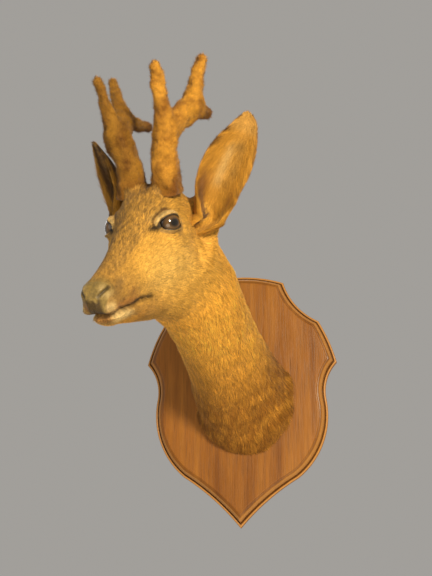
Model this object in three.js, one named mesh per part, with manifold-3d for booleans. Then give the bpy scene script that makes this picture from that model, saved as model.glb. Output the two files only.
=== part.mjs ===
// A roe buck's head and neck on a shield-shaped wall board, life size, in millimetres, +Z up.
// The origin is the centre of the board's back face, +Y goes into the wall and +X to the right.
// Head, muzzle, nose, lower jaw and neck are one flesh surface, parted by thin cuts.

import * as THREE from 'three';
import { mergeVertices } from 'three/addons/utils/BufferGeometryUtils.js';
import Module from 'manifold-3d';

const wasm = await Module();
wasm.setup();

// ---- driving dimensions ------------------------------------------------------------------

const GAP = 0.3;                       // clearance between touching pieces

const BOARD_THICK = 22;                // back face to front panel
const BOARD_TOP = 172.7;               // top edge above the centre, in the middle
const BOARD_CORNER = [61.6, 162.2];    // top corner
const BOARD_SHOULDER = [109.7, 105];
const BOARD_SIDE = [133, 46.9];        // widest point
const BOARD_WAIST = [117.2, -2];
const BOARD_FLANK = [77.1, -108];      // where the belly of the shield turns to its foot
const BOARD_FOOT = [0, -172.7];

const HANGER_HEIGHT = 112;             // centre of the steel hanger let into the back
const HANGER_SIZE = [62, 13];
const HANGER_THICK = 1.2;
const HANGER_POCKET = 3;
const SCREW_SPACING = 50;

const HEAD_TURN = -105.6;              // degrees about the vertical
const HEAD_NOD = 40.2;                 // nose down from level
const HEAD_TILT = -3.4;                // about the line of the nose
const HEAD_PLACE = [-63, -324, 126];   // a point between the eyes

const NECK_FOOT = [5, 2];              // centre of the neck on the board, across and up
const NECK_TOP = [-42, 5, -40];        // where the neck joins the skull, in the head's frame
const NECK_RIM = [13, -23, 3];         // centre of the lip of hide round the neck's foot
const NECK_RIM_SIZE = [71, 8, 84];     // its half width, half thickness and half height

const NOSTRIL_PLACE = [120, 14.5, -4];  // left one, in the head's frame

const EYE_RADIUS = 13;
const LID_THICK = 2.4;
const EYE_PLACE = [-3.5, 29.4, 12.2];  // left eye, in the head's frame
const EYE_SLIT = [0.86, -0.49, 0.16];  // from the rear corner of the lids to the front corner
const EYE_LOOK = [0.33, 0.92, 0.2];

const EAR_THICK = 4.5;

const RINGS = { cap: 6, face: 13, bend: 10, neck: 9 };
const SEGMENTS = 34;

// ---- materials ---------------------------------------------------------------------------

const coat = new THREE.MeshStandardMaterial({ color: 0xc98d3c, roughness: 0.9 });
const nakedSkin = new THREE.MeshStandardMaterial({ color: 0x6d5a33, roughness: 0.6 });
const velvet = new THREE.MeshStandardMaterial({ color: 0x9a6424, roughness: 0.95 });
const eyeGlass = new THREE.MeshStandardMaterial({ color: 0x1c140e, roughness: 0.1 });
const boardWood = new THREE.MeshStandardMaterial({ color: 0x8a4f22, roughness: 0.35 });
const steel = new THREE.MeshStandardMaterial({ color: 0x9a9a98, roughness: 0.4, metalness: 1 });

// ---- small tools -------------------------------------------------------------------------

const dot = (a, b) => a[0] * b[0] + a[1] * b[1] + a[2] * b[2];
const plus = (a, b, k = 1) => [a[0] + k * b[0], a[1] + k * b[1], a[2] + k * b[2]];
const mix = (a, b, t) => a.map((value, i) => value * (1 - t) + b[i] * t);
const length = (a) => Math.hypot(...a);
const unit = (a) => a.map((value) => value / length(a));
const square = (a, b) => unit(plus(a, b, -dot(a, b)));
const cross = (a, b) => [a[1] * b[2] - a[2] * b[1], a[2] * b[0] - a[0] * b[2], a[0] * b[1] - a[1] * b[0]];
const clamp = (value, low, high) => Math.min(Math.max(value, low), high);

// Smooth curve through stations: xs rise, vs are the values there.
function curve(x, xs, vs) {
  const last = xs.length - 1;
  const at = clamp(x, xs[0], xs[last]);
  let i = 0;
  while (i < last - 1 && at > xs[i + 1]) i += 1;
  const step = xs[i + 1] - xs[i];
  const t = (at - xs[i]) / step;
  const a = slope(i, xs, vs) * step;
  const b = slope(i + 1, xs, vs) * step;
  const start = (1 + 2 * t) * (1 - t) ** 2 * vs[i] + t * (1 - t) ** 2 * a;
  return start + t * t * (3 - 2 * t) * vs[i + 1] + t * t * (t - 1) * b;
}

// Slope at station i: the mean of its two sides, each weighed by the other's length.
function slope(i, xs, vs) {
  const rise = (k) => (vs[k + 1] - vs[k]) / (xs[k + 1] - xs[k]);
  if (i === 0) return rise(0);
  if (i === xs.length - 1) return rise(i - 1);
  const before = xs[i] - xs[i - 1];
  const after = xs[i + 1] - xs[i];
  return (rise(i - 1) * after + rise(i) * before) / (before + after);
}

// Union of two distances, rounded over k.
function blend(a, b, k) {
  const h = clamp(0.5 + (0.5 * (b - a)) / k, 0, 1);
  return b * (1 - h) + a * h - k * h * (1 - h);
}

// Distance to an ellipsoid, true at its surface.
function ellipsoid(p, centre, radii) {
  const q = Math.hypot(...p.map((value, i) => (value - centre[i]) / radii[i]));
  return (q - 1) * Math.min(...radii);
}

// ---- solids ------------------------------------------------------------------------------

function toManifold(geometry) {
  const bare = geometry.clone();
  bare.deleteAttribute('normal');
  bare.deleteAttribute('uv');
  const merged = mergeVertices(bare, 1e-4);
  return new wasm.Manifold(new wasm.Mesh({
    numProp: 3,
    vertProperties: new Float32Array(merged.attributes.position.array),
    triVerts: new Uint32Array(merged.index.array),
  }));
}

function toGeometry(solid) {
  const mesh = solid.getMesh();
  const geometry = new THREE.BufferGeometry();
  geometry.setAttribute('position', new THREE.BufferAttribute(new Float32Array(mesh.vertProperties), 3));
  geometry.setIndex(new THREE.BufferAttribute(new Uint32Array(mesh.triVerts), 1));
  geometry.computeVertexNormals();
  return geometry;
}

// Closed surface from rings of equal length. Each end is drawn together on its middle point, or
// on a sheet, whose rings go out along one face and back along the other, from face to face.
function ringSolid(rings, isSheet = false) {
  const points = rings.flat();
  const count = rings[0].length;
  const triangles = [];
  const at = (ring, k) => ring * count + (k % count);
  for (let ring = 0; ring < rings.length - 1; ring += 1) {
    for (let k = 0; k < count; k += 1) {
      triangles.push(at(ring, k), at(ring, k + 1), at(ring + 1, k));
      triangles.push(at(ring, k + 1), at(ring + 1, k + 1), at(ring + 1, k));
    }
  }
  for (const ring of [0, rings.length - 1]) {
    const faces = [];
    for (let k = 0; isSheet && k < count / 2 - 1; k += 1) {
      faces.push([at(ring, k), at(ring, k + 1), at(ring, count - 2 - k)]);
      faces.push([at(ring, k), at(ring, count - 2 - k), at(ring, count - 1 - k)]);
    }
    for (let k = 0; !isSheet && k < count; k += 1) faces.push([at(ring, k), at(ring, k + 1), points.length]);
    if (!isSheet) points.push(middle(rings[ring]));
    for (const face of faces) triangles.push(...(ring === 0 ? face.reverse() : face));
  }
  return outwards(points, triangles);
}

function middle(ring) {
  const sum = ring.reduce((total, point) => plus(total, point), [0, 0, 0]);
  return sum.map((value) => value / ring.length);
}

// Geometry whose faces point out: all are turned if the enclosed volume comes out negative.
function outwards(points, triangles) {
  let volume = 0;
  for (let k = 0; k < triangles.length; k += 3) {
    const [a, b, c] = [points[triangles[k]], points[triangles[k + 1]], points[triangles[k + 2]]];
    volume += dot(a, cross(b, c));
  }
  const faces = volume < 0 ? triangles.slice().reverse() : triangles;
  const geometry = new THREE.BufferGeometry();
  geometry.setAttribute('position', new THREE.Float32BufferAttribute(points.flat(), 3));
  geometry.setIndex(faces);
  return geometry;
}

// Tube through points with a radius at each, its ends rounded off.
function limb(points, radii, grow = 0) {
  const sides = 10;
  const steps = 4;
  const stations = points.map((_, i) => i);
  const last = points.length - 1;
  const along = (t) => [0, 1, 2].map((axis) => curve(t, stations, points.map((point) => point[axis])));
  const rings = [];
  const ring = (t, shrink, shift) => {
    const forward = unit(plus(along(Math.min(t + 0.05, last)), along(Math.max(t - 0.05, 0)), -1));
    const side = square(cross(forward, [0, 1, 0]), forward);
    const up = cross(side, forward);
    const radius = curve(t, stations, radii) + grow;
    const centre = plus(along(t), forward, shift * radius);
    const around = [];
    for (let k = 0; k < sides; k += 1) {
      const angle = (2 * Math.PI * k) / sides;
      const out = plus(side.map((value) => value * Math.cos(angle)), up, Math.sin(angle));
      around.push(plus(centre, out, radius * shrink));
    }
    rings.push(around);
  };
  const capAngles = [75, 40].map((degrees) => (degrees * Math.PI) / 180);
  for (const angle of capAngles) ring(0, Math.cos(angle), -Math.sin(angle));
  for (let k = 0; k <= steps * last; k += 1) ring(k / steps, 1, 0);
  for (const angle of capAngles.reverse()) ring(last, Math.cos(angle), Math.sin(angle));
  return toManifold(ringSolid(rings));
}

// ---- board -------------------------------------------------------------------------------

// Stretches of the outline, clockwise from the left top corner: [start, end, sagitta outwards].
const flipped = ([x, z]) => [-x, z];
const crown = BOARD_TOP - BOARD_CORNER[1];
const rightSide = [
  [BOARD_CORNER, BOARD_SHOULDER, -8],
  [BOARD_SHOULDER, BOARD_SIDE, 2.2],
  [BOARD_SIDE, BOARD_WAIST, -6],
  [BOARD_WAIST, BOARD_FLANK, 16],
  [BOARD_FLANK, BOARD_FOOT, -4],
];
const outline = [
  [flipped(BOARD_CORNER), BOARD_CORNER, crown],
  ...rightSide,
  ...rightSide.map(([start, end, sag]) => [flipped(end), flipped(start), sag]).reverse(),
];

// Point and outward normal at t along a stretch: a circular arc given by its sagitta.
function onStretch([start, end, sag], t) {
  const chord = [end[0] - start[0], end[1] - start[1]];
  const size = Math.hypot(...chord);
  const along = [chord[0] / size, chord[1] / size];
  const out = [-along[1], along[0]];
  const half = 2 * Math.atan((2 * sag) / size);
  const radius = size / (2 * Math.sin(half));
  const angle = half * (2 * t - 1);
  const forth = size / 2 + radius * Math.sin(angle);
  const lift = radius * (Math.cos(angle) - Math.cos(half));
  const point = [start[0] + along[0] * forth + out[0] * lift, start[1] + along[1] * forth + out[1] * lift];
  const normal = [0, 1].map((i) => along[i] * Math.sin(angle) + out[i] * Math.cos(angle));
  return { point, normal };
}

// One stretch set in by a distance, cut off at the mitre lines of its two corners.
function insetStretch(index, inset, count) {
  const stretch = outline[index];
  const before = outline[(index + outline.length - 1) % outline.length];
  const after = outline[(index + 1) % outline.length];
  const place = (t) => {
    const { point, normal } = onStretch(stretch, t);
    return [point[0] - normal[0] * inset, point[1] - normal[1] * inset];
  };
  const trimmed = (corner, other, otherT, t, direction) => {
    const mitre = [0, 1].map((i) => onStretch(stretch, t).normal[i] + onStretch(other, otherT).normal[i]);
    const side = (q) => (q[0] - corner[0]) * mitre[1] - (q[1] - corner[1]) * mitre[0];
    let low = t - 0.3;
    let high = t + 0.3;
    const rising = side(place(high)) > side(place(low));
    for (let k = 0; k < 40; k += 1) {
      const centre = (low + high) / 2;
      if (side(place(centre)) > 0 === rising) high = centre;
      else low = centre;
    }
    return inset === 0 ? direction : (low + high) / 2;
  };
  const from = trimmed(stretch[0], before, 1, 0, 0);
  const to = trimmed(stretch[1], after, 0, 1, 1);
  return Array.from({ length: count }, (_, k) => place(from + ((to - from) * k) / count));
}

// The board: its moulded edge is a list of [inset, height], carried round the outline.
function shieldBoard() {
  const moulding = [[0, 0], [0, 9], [1.4, 10.6], [3.6, 10.6], [5.2, 15.6], [8.2, 20.2], [12.5, BOARD_THICK]];
  const counts = outline.map((stretch) => Math.max(3, Math.round(Math.abs(stretch[2]) / 2.5) + 2));
  const rings = moulding.map(([inset, height]) => outline
    .flatMap((_, index) => insetStretch(index, inset, counts[index]))
    .map(([x, z]) => [x, -height, z]));
  const count = rings[0].length;
  const triangles = [];
  for (let ring = 0; ring < rings.length - 1; ring += 1) {
    for (let k = 0; k < count; k += 1) {
      const next = (k + 1) % count;
      const base = ring * count;
      triangles.push(base + k, base + next, base + count + k);
      triangles.push(base + next, base + count + next, base + count + k);
    }
  }
  const cap = (ring, offset, turned) => {
    const flat = rings[ring].map(([x, , z]) => new THREE.Vector2(x, z));
    const area = THREE.ShapeUtils.area(flat);
    for (const [a, b, c] of THREE.ShapeUtils.triangulateShape(flat, [])) {
      const face = (area < 0) === turned ? [a, b, c] : [c, b, a];
      triangles.push(...face.map((k) => k + offset));
    }
  };
  cap(0, 0, true);
  cap(rings.length - 1, (rings.length - 1) * count, false);
  return toManifold(outwards(rings.flat(), triangles));
}

// A box between two corners.
function block(low, high) {
  const box = new THREE.BoxGeometry(high[0] - low[0], high[1] - low[1], high[2] - low[2]);
  box.translate((low[0] + high[0]) / 2, (low[1] + high[1]) / 2, (low[2] + high[2]) / 2);
  return toManifold(box);
}

// Round bar about a line through the board: its profile is [radius, depth in from the back].
function turnedPiece(profile, x, grow = 0) {
  const outlinePoints = profile.map(([radius, depth]) => new THREE.Vector2(radius && radius + grow, depth));
  const bar = new THREE.LatheGeometry(outlinePoints, 8);
  bar.rotateX(Math.PI);
  bar.translate(x, 0, HANGER_HEIGHT);
  return toManifold(bar);
}

// Hanger: a flat plate with a toothed lower edge, let into the back under two screws.
const screwProfile = [[0, 0.4], [1.6, 0.5], [2.8, 1], [3, 1.5], [1.3, 1.5], [1.3, 12], [0, 14]];
const screwPlaces = { hanger_screw_left: -SCREW_SPACING / 2, hanger_screw_right: SCREW_SPACING / 2 };

function hangerPlate() {
  const [wide, tall] = HANGER_SIZE;
  const teeth = 9;
  const pitch = 4;
  const shape = new THREE.Shape();
  shape.moveTo(-wide / 2, -tall / 2);
  for (let k = 0; k < teeth; k += 1) {
    const x = (k - teeth / 2) * pitch;
    shape.lineTo(x, -tall / 2);
    shape.lineTo(x + pitch / 2, -tall / 2 + 2.4);
  }
  shape.lineTo((teeth / 2) * pitch, -tall / 2);
  shape.lineTo(wide / 2, -tall / 2);
  shape.lineTo(wide / 2, tall / 2);
  shape.lineTo(-wide / 2, tall / 2);
  shape.closePath();
  const plate = new THREE.ExtrudeGeometry(shape, { depth: HANGER_THICK, bevelEnabled: false });
  plate.rotateX(Math.PI / 2);
  plate.translate(0, GAP + HANGER_THICK - HANGER_POCKET, HANGER_HEIGHT);
  return toManifold(plate);
}

// ---- head and neck as one surface --------------------------------------------------------
// The head's frame: x to the nose, y to the animal's left, z up, from a point between the eyes.

const headTurn = new THREE.Euler(
  ...[HEAD_TILT, HEAD_NOD, HEAD_TURN].map((degrees) => (degrees * Math.PI) / 180), 'ZYX');
const toWorld = new THREE.Matrix4().makeRotationFromEuler(headTurn).setPosition(...HEAD_PLACE);
const toHead = toWorld.clone().invert();
const intoHead = (point) => new THREE.Vector3(...point).applyMatrix4(toHead).toArray();
const turnedIntoHead = (way) => new THREE.Vector3(...way).transformDirection(toHead).toArray();

const skull = {                        // from the back of the skull to the nose
  x: [-100, -90, -70, -50, -30, -10, 10, 30, 50, 70, 88, 104, 114, 121, 126],
  top: [-15, 14, 34, 44, 46, 43, 36, 28, 20, 13, 8, 4, 1, -3, -9],
  bottom: [-40, -48, -52, -52, -52, -50, -46, -43, -40, -37, -33, -29, -27, -25, -20],
  halfWidth: [8, 24, 34, 38, 39, 39, 36, 30, 24.5, 20.5, 18.5, 17.5, 16, 11.5, 5],
  taper: [0, 0, 0.05, 0.05, 0.05, 0.1, 0.28, 0.42, 0.44, 0.38, 0.3, 0.18, 0.1, 0.05, 0],
  power: 2.3,
};
const jaw = {                          // from the angle of the jaw to the chin
  x: [-58, -44, -30, -12, 10, 32, 52, 72, 90, 102, 112, 117],
  top: [-30, -20, -15, -15, -15, -18, -20, -22, -24, -26, -27, -28],
  bottom: [-58, -76, -86, -88, -85, -78, -69, -60, -52, -47, -42, -35],
  halfWidth: [16, 27, 32, 34, 32, 27, 22, 19, 17.5, 15.5, 12, 6],
  taper: [0, 0, 0, 0, 0, 0, 0, 0, 0, 0, 0, 0],
  power: 2.2,
};
const throat = {                       // from the skull (0) to the board (1)
  s: [0, 0.15, 0.3, 0.45, 0.6, 0.75, 0.88, 0.96, 1],
  deep: [47, 55, 55, 55, 56, 61, 68, 71, 74],
  wide: [42, 49, 50, 50, 52, 56, 61, 64, 68],
  nape: [4, 5, 5, 3, 1, 0, 0, 0, 0],
  left: [6, 10, 10, 8, 5, 2, 0, 0, 0],
};

// Distance to a body lofted along x: its sections are super-ellipses, narrower above.
function loft([x, y, z], shape) {
  const last = shape.x.length - 1;
  const [top, bottom, half, taper] = [shape.top, shape.bottom, shape.halfWidth, shape.taper]
    .map((values) => curve(x, shape.x, values));
  const tall = (top - bottom) / 2;
  const up = (z - (top + bottom) / 2) / tall;
  const across = y / (half * (1 - taper * clamp(up, -1, 1)));
  const q = (Math.abs(across) ** shape.power + Math.abs(up) ** shape.power) ** (1 / shape.power);
  const distance = (q - 1) * Math.min(half, tall);
  const beyond = Math.max(x - shape.x[last], shape.x[0] - x, 0);
  return beyond > 0 ? Math.hypot(Math.max(distance, 0), beyond) : distance;
}

const neckFoot = intoHead([NECK_FOOT[0], -BOARD_THICK - GAP, NECK_FOOT[1]]);
const neckRim = intoHead(NECK_RIM);
const boardAxes = [[1, 0, 0], [0, 1, 0], [0, 0, 1]].map(turnedIntoHead);
const neckLine = plus(neckFoot, NECK_TOP, -1);
const neckLength = length(neckLine);
const neckWay = unit(neckLine);
const napeWay = unit(cross([0, -1, 0], neckWay));
const leftWay = cross(napeWay, neckWay);

// Distance to the neck: elliptical sections whose middles bow to the nape and to the left.
function neckAt(p) {
  const from = plus(p, NECK_TOP, -1);
  const s = dot(from, neckWay) / neckLength;
  const [deep, wide, nape, left] = [throat.deep, throat.wide, throat.nape, throat.left]
    .map((values) => curve(s, throat.s, values));
  const q = Math.hypot((dot(from, napeWay) - nape) / deep, (dot(from, leftWay) - left) / wide);
  const distance = (q - 1) * Math.min(deep, wide);
  const beyond = Math.max(-s * neckLength, 0);
  return beyond > 0 ? Math.hypot(Math.max(distance, 0), beyond) : distance;
}

// Distance to the flesh: negative inside, with cheeks, antler and ear roots, the wings of the
// nose and the lobes of the upper lip swelling from it.
function flesh([x, y, z]) {
  const p = [x, Math.abs(y), z];
  let f = blend(loft(p, skull), loft(p, jaw), 8);
  f = blend(f, ellipsoid(p, [-10, 22, -42], [38, 20, 40]), 14);
  f = blend(f, ellipsoid(p, [-38, 20, 44], [15, 14, 14]), 10);
  f = blend(f, ellipsoid(p, [-77, 39, -6], [22, 18, 27]), 10);
  f = blend(f, ellipsoid(p, [110.5, 5, -7.5], [11.5, 8.5, 9]), 5);
  f = blend(f, ellipsoid(p, [113.5, 9.5, -22.5], [9, 7, 6.5]), 4);
  f = blend(f, neckAt([x, y, z]), 28);
  const rim = plus([x, y, z], neckRim, -1);
  return blend(f, ellipsoid(boardAxes.map((axis) => dot(rim, axis)), [0, 0, 0], NECK_RIM_SIZE), 6);
}

// The spine that the surface is measured from: along the muzzle, round a bend, down the neck.
const MUZZLE_END = [98, 0, -21];
const BEND_TOP = [15, 0, -12];
const BEND_RADIUS = 108;
const BEND_ANGLE = (64 * Math.PI) / 180;

function spine() {
  const stations = [];
  const add = (at, forward, up, open) => stations.push({ at, forward, up: square(up, forward), open });
  const back = unit(plus(MUZZLE_END, BEND_TOP, -1));
  for (let k = 0.5; k < RINGS.cap; k += 1) {
    add(MUZZLE_END, back, [0, 0, 1], (Math.PI / 2) * (k / RINGS.cap));
  }
  for (let k = 0; k < RINGS.face; k += 1) {
    add(mix(MUZZLE_END, BEND_TOP, k / RINGS.face), back, [0, 0, 1], Math.PI / 2);
  }
  const arc = (angle) => [
    BEND_TOP[0] - BEND_RADIUS * Math.sin(angle), 0, BEND_TOP[2] + BEND_RADIUS * (Math.cos(angle) - 1)];
  for (let k = 0; k < RINGS.bend; k += 1) {
    const angle = (BEND_ANGLE * k) / RINGS.bend;
    const upward = [-Math.sin(angle), 0, Math.cos(angle)];
    add(arc(angle), [Math.cos(angle), 0, Math.sin(angle)], upward, Math.PI / 2);
  }
  const turned = [Math.cos(BEND_ANGLE), 0, Math.sin(BEND_ANGLE)];
  const upward = [-Math.sin(BEND_ANGLE), 0, Math.cos(BEND_ANGLE)];
  const offBoard = boardAxes[1].map((value) => -value);
  for (let k = 0; k <= RINGS.neck; k += 1) {
    const forward = unit(mix(turned, offBoard, k / RINGS.neck));
    add(mix(arc(BEND_ANGLE), neckFoot, k / RINGS.neck), forward, upward, Math.PI / 2);
  }
  return stations;
}

// First point along a ray where the flesh ends, grown by a distance.
function reach(from, way, grow) {
  const step = 4;
  let outer = step;
  while (outer < 170 && flesh(plus(from, way, outer)) < grow) outer += step;
  let inner = outer - step;
  for (let k = 0; k < 18; k += 1) {
    const centre = (inner + outer) / 2;
    if (flesh(plus(from, way, centre)) < grow) inner = centre;
    else outer = centre;
  }
  return plus(from, way, inner);
}

function fleshSolid(grow) {
  const rings = spine().map(({ at, forward, up, open }) => {
    const side = cross(up, forward);
    return Array.from({ length: SEGMENTS }, (_, k) => {
      const angle = (2 * Math.PI * k) / SEGMENTS;
      const out = plus(up.map((value) => value * Math.cos(angle)), side, Math.sin(angle));
      const way = plus(out.map((value) => value * Math.sin(open)), forward, Math.cos(open));
      return reach(at, way, grow);
    });
  });
  return toManifold(ringSolid(rings));
}

// Slab between the sagittal outline's points, right through the head from side to side.
function profileSlab(points) {
  const shape = new THREE.Shape(points.map(([x, z]) => new THREE.Vector2(x, z)));
  const slab = new THREE.ExtrudeGeometry(shape, { depth: 400, bevelEnabled: false });
  slab.translate(0, 0, -200);
  slab.rotateX(Math.PI / 2);
  return toManifold(slab);
}

// Thin cut along a line of sagittal points.
function blade(points) {
  const side = (shift) => points.map((point, i) => {
    const [a, b] = [points[Math.max(i - 1, 0)], points[Math.min(i + 1, points.length - 1)]];
    const size = Math.hypot(b[0] - a[0], b[1] - a[1]);
    return [point[0] - (shift * (b[1] - a[1])) / size, point[1] + (shift * (b[0] - a[0])) / size];
  });
  return profileSlab([...side(GAP / 2), ...side(-GAP / 2).reverse()]);
}

// Sagittal lines of the cuts, each from outside the head to outside or to the next line.
const mouthCut = [
  [150, -22], [126, -26], [116, -28.5], [106, -30], [94, -33], [82, -35.5], [70, -34], [52, -38],
];
const jawCut = [[52, -38], [36, -62], [28, -130]];
const muzzleCut = [[56, 60], [58, 10], [52, -38]];
const noseCut = [[96, 40], [108, 4], [115, -10], [116, -28.5]];
const neckCut = [[28, -130], [-60, -52], [-130, 12]];

// Lids' opening, seen along the eye's own line: pointed at both corners, longer in front.
const slitWay = unit(EYE_SLIT);
const lookWay = square(EYE_LOOK, slitWay);
const liftWay = cross(lookWay, slitWay);

function lidOpening() {
  const points = [];
  const corner = { front: 16, rear: 13.4, upper: 8.4, lower: 6.8 };
  const sides = 20;
  for (let k = 0; k < sides; k += 1) {
    const angle = (2 * Math.PI * k) / sides;
    const along = Math.cos(angle) * (Math.cos(angle) > 0 ? corner.front : corner.rear);
    const lift = Math.sin(angle) * Math.abs(Math.sin(angle)) ** 0.3;
    points.push(new THREE.Vector2(along, -lift * (lift > 0 ? corner.upper : corner.lower)));
  }
  const prism = new THREE.ExtrudeGeometry(new THREE.Shape(points), { depth: 30, bevelEnabled: false });
  prism.applyMatrix4(new THREE.Matrix4().makeBasis(
    ...[slitWay, liftWay, lookWay].map((way) => new THREE.Vector3(...way))));
  return prism;
}

// Nostril: a long hollow that climbs backwards round the side of the nose.
function nostril() {
  const hollow = new THREE.SphereGeometry(1, 8, 6);
  hollow.scale(8, 4, 3);
  hollow.rotateY(-0.35);
  hollow.rotateZ(-0.75);
  hollow.translate(...NOSTRIL_PLACE);
  return toManifold(hollow);
}

function eyeBall(grow) {
  const ball = new THREE.SphereGeometry(EYE_RADIUS + grow, 12, 8);
  return toManifold(ball).translate(EYE_PLACE);
}

// ---- ears --------------------------------------------------------------------------------

// Each ear's root, its tip and the way its hollow faces: the left one looks forward.
const ears = {
  left: { root: [-67, 46, -8], tip: [-116, 99, 88], facing: [0.75, 0.55, 0.35] },
  right: { root: [-64, -39, -8], tip: [-113, -97, 80], facing: [0.45, -0.8, 0.35] },
};
const earShape = {                     // from the root (0) to the tip (1)
  s: [0, 0.12, 0.3, 0.5, 0.7, 0.86, 0.96, 1],
  half: [16, 19, 24, 26.5, 23, 15.5, 9.5, 5.5],
  curl: [2.6, 2.2, 1.45, 1.1, 0.9, 0.75, 0.6, 0.5],
  lean: [0, -2, -4, -3, -1, 1, 1, 0],
};

// A leaf with its edges curled forward: each section is an arc of the given half angle.
function earSheet({ root, tip, facing }, side) {
  const way = plus(tip, root, -1);
  const rise = unit(way);
  const face = square(facing, rise);
  const across = cross(rise, face).map((value) => value * side);
  const rows = 11;
  const columns = 7;
  const point = (s, t, depth) => {
    const [half, curl, lean] = [earShape.half, earShape.curl, earShape.lean]
      .map((values) => curve(s, earShape.s, values));
    const radius = half / Math.sin(Math.min(curl, Math.PI / 2));
    const thick = depth * (EAR_THICK / 2) * (1 - 0.45 * t * t) * (s > 0.95 ? 0.6 : 1);
    const angle = curl * t;
    const sideways = (radius + thick) * Math.sin(angle) + lean;
    const back = radius * 0.75 - (radius + thick) * Math.cos(angle);
    return plus(plus(plus(root, way, s), across, sideways), face, back);
  };
  const rings = [];
  for (let row = 0; row <= rows; row += 1) {
    const s = row / rows;
    const outer = Array.from({ length: columns + 1 }, (_, k) => point(s, (2 * k) / columns - 1, 1));
    const inner = Array.from({ length: columns + 1 }, (_, k) => point(s, 1 - (2 * k) / columns, -1));
    rings.push([...outer, ...inner]);
  }
  return toManifold(ringSolid(rings, true));
}

// ---- antlers -----------------------------------------------------------------------------
// In velvet, so thick and blunt. The right one stands closer to the middle line than the left.

const antlers = {
  left: {
    base: [-38, 21, 36], mid: [-41, 25, 69], fork: [-49, 29.5, 93], front: [-53, 33, 160],
    rearFork: [-101, 41, 108], top: [-121, 56, 151], rear: [-140, 41, 92],
    radii: { base: 17.5, mid: 15, fork: 12.5, rearFork: 12.5, tine: 9, end: 7.2 },
  },
  right: {
    base: [-38, -21, 36], mid: [-41, -17.5, 69], fork: [-49, -26, 96], front: [-53, -35, 156],
    rearFork: [-83, -34, 107], top: [-119, -53, 144], rear: [-152, -40, 83],
    radii: { base: 17.5, mid: 14, fork: 13.8, rearFork: 11, tine: 7.5, end: 6 },
  },
};

function antler(side, fleshGrown) {
  const { base, mid, fork, front, rearFork, top, rear, radii } = antlers[side];
  const beam = (grow) => limb([base, mid, fork], [radii.base, radii.mid, radii.fork], grow);
  const frontTine = (grow) => limb(
    [fork, mix(fork, front, 0.5), front], [radii.fork, radii.tine, radii.end], grow);
  const topTine = (grow) => limb(
    [fork, rearFork, mix(rearFork, top, 0.5), top],
    [radii.fork - 1, radii.rearFork, radii.tine, radii.end], grow);
  const rearTine = limb(
    [rearFork, mix(rearFork, rear, 0.5), rear], [radii.rearFork - 2, radii.tine, radii.end]);
  return {
    beam: beam(0).subtract(fleshGrown),
    front_tine: frontTine(0).subtract(beam(GAP)),
    top_tine: topTine(0).subtract(beam(GAP)).subtract(frontTine(GAP)),
    rear_tine: rearTine.subtract(topTine(GAP)).subtract(beam(GAP)),
  };
}

// ---- assembly ----------------------------------------------------------------------------

const part = new THREE.Group();
const head = new THREE.Group();
head.rotation.copy(headTurn);
head.position.set(...HEAD_PLACE);
part.add(head);

function place(group, name, solid, material) {
  const mesh = new THREE.Mesh(toGeometry(solid), material);
  mesh.name = name;
  group.add(mesh);
}

const [pocketWide, pocketTall] = HANGER_SIZE.map((value) => value / 2 + 1);
let board = shieldBoard().subtract(block(
  [-pocketWide, -HANGER_POCKET, HANGER_HEIGHT - pocketTall], [pocketWide, 5, HANGER_HEIGHT + pocketTall]));
let plate = hangerPlate();
for (const [name, x] of Object.entries(screwPlaces)) {
  const hole = turnedPiece(screwProfile, x, GAP);
  board = board.subtract(hole);
  plate = plate.subtract(hole);
  place(part, name, turnedPiece(screwProfile, x), steel);
}
place(part, 'board', board, boardWood);
place(part, 'hanger_plate', plate, steel);

let carcass = fleshSolid(0);
for (const side of [1, -1]) {
  const opening = lidOpening();
  opening.translate(...EYE_PLACE);
  const mirror = (solid) => (side > 0 ? solid : solid.mirror([0, 1, 0]));
  const ball = mirror(eyeBall(0));
  carcass = carcass.add(mirror(eyeBall(LID_THICK))).subtract(mirror(eyeBall(GAP)));
  carcass = carcass.subtract(mirror(toManifold(opening))).subtract(mirror(nostril()));
  place(head, side > 0 ? 'eye_left' : 'eye_right', ball, eyeGlass);
}
for (const line of [mouthCut, jawCut, muzzleCut, noseCut, neckCut]) carcass = carcass.subtract(blade(line));

const around = {
  neck: [...neckCut, [-420, 12], [-420, -420], [200, -420], [200, -130]],
  lower_jaw: [...mouthCut, ...jawCut.slice(1), [160, -130]],
  nose: [...noseCut, [126, -26], [150, -22], [150, 60]],
  muzzle: [[56, 60], [58, 10], ...mouthCut.slice(3).reverse(), ...noseCut.slice().reverse(), [96, 60]],
  head: [[56, 60], [58, 10], [52, -38], [36, -62], [28, -130], [-60, -52], [-130, 12], [-130, 90], [56, 90]],
};
for (const [name, points] of Object.entries(around)) {
  place(head, name, carcass.intersect(profileSlab(points)), name === 'nose' ? nakedSkin : coat);
}

const fleshGrown = fleshSolid(GAP * 2);
for (const side of ['left', 'right']) {
  const sheet = earSheet(ears[side], side === 'left' ? 1 : -1).subtract(fleshGrown);
  place(head, `ear_${side}`, sheet, coat);
  for (const [name, solid] of Object.entries(antler(side, fleshGrown))) {
    place(head, `antler_${side}_${name}`, solid, velvet);
  }
}

export default part;
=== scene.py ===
"""Roe buck's head and neck with antlers in velvet, on a shield-shaped wall board.

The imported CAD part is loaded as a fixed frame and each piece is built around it, in metres.
Shapes of the animal are worked out in its head's own frame, in millimetres: x to the nose,
y to the animal's left, z up, from a point between the eyes.
"""

import math

import bpy
import numpy as np
from bpy.props import FloatProperty, FloatVectorProperty, IntProperty, PointerProperty
from mathutils import Matrix, Vector
from mathutils.geometry import tessellate_polygon


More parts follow.
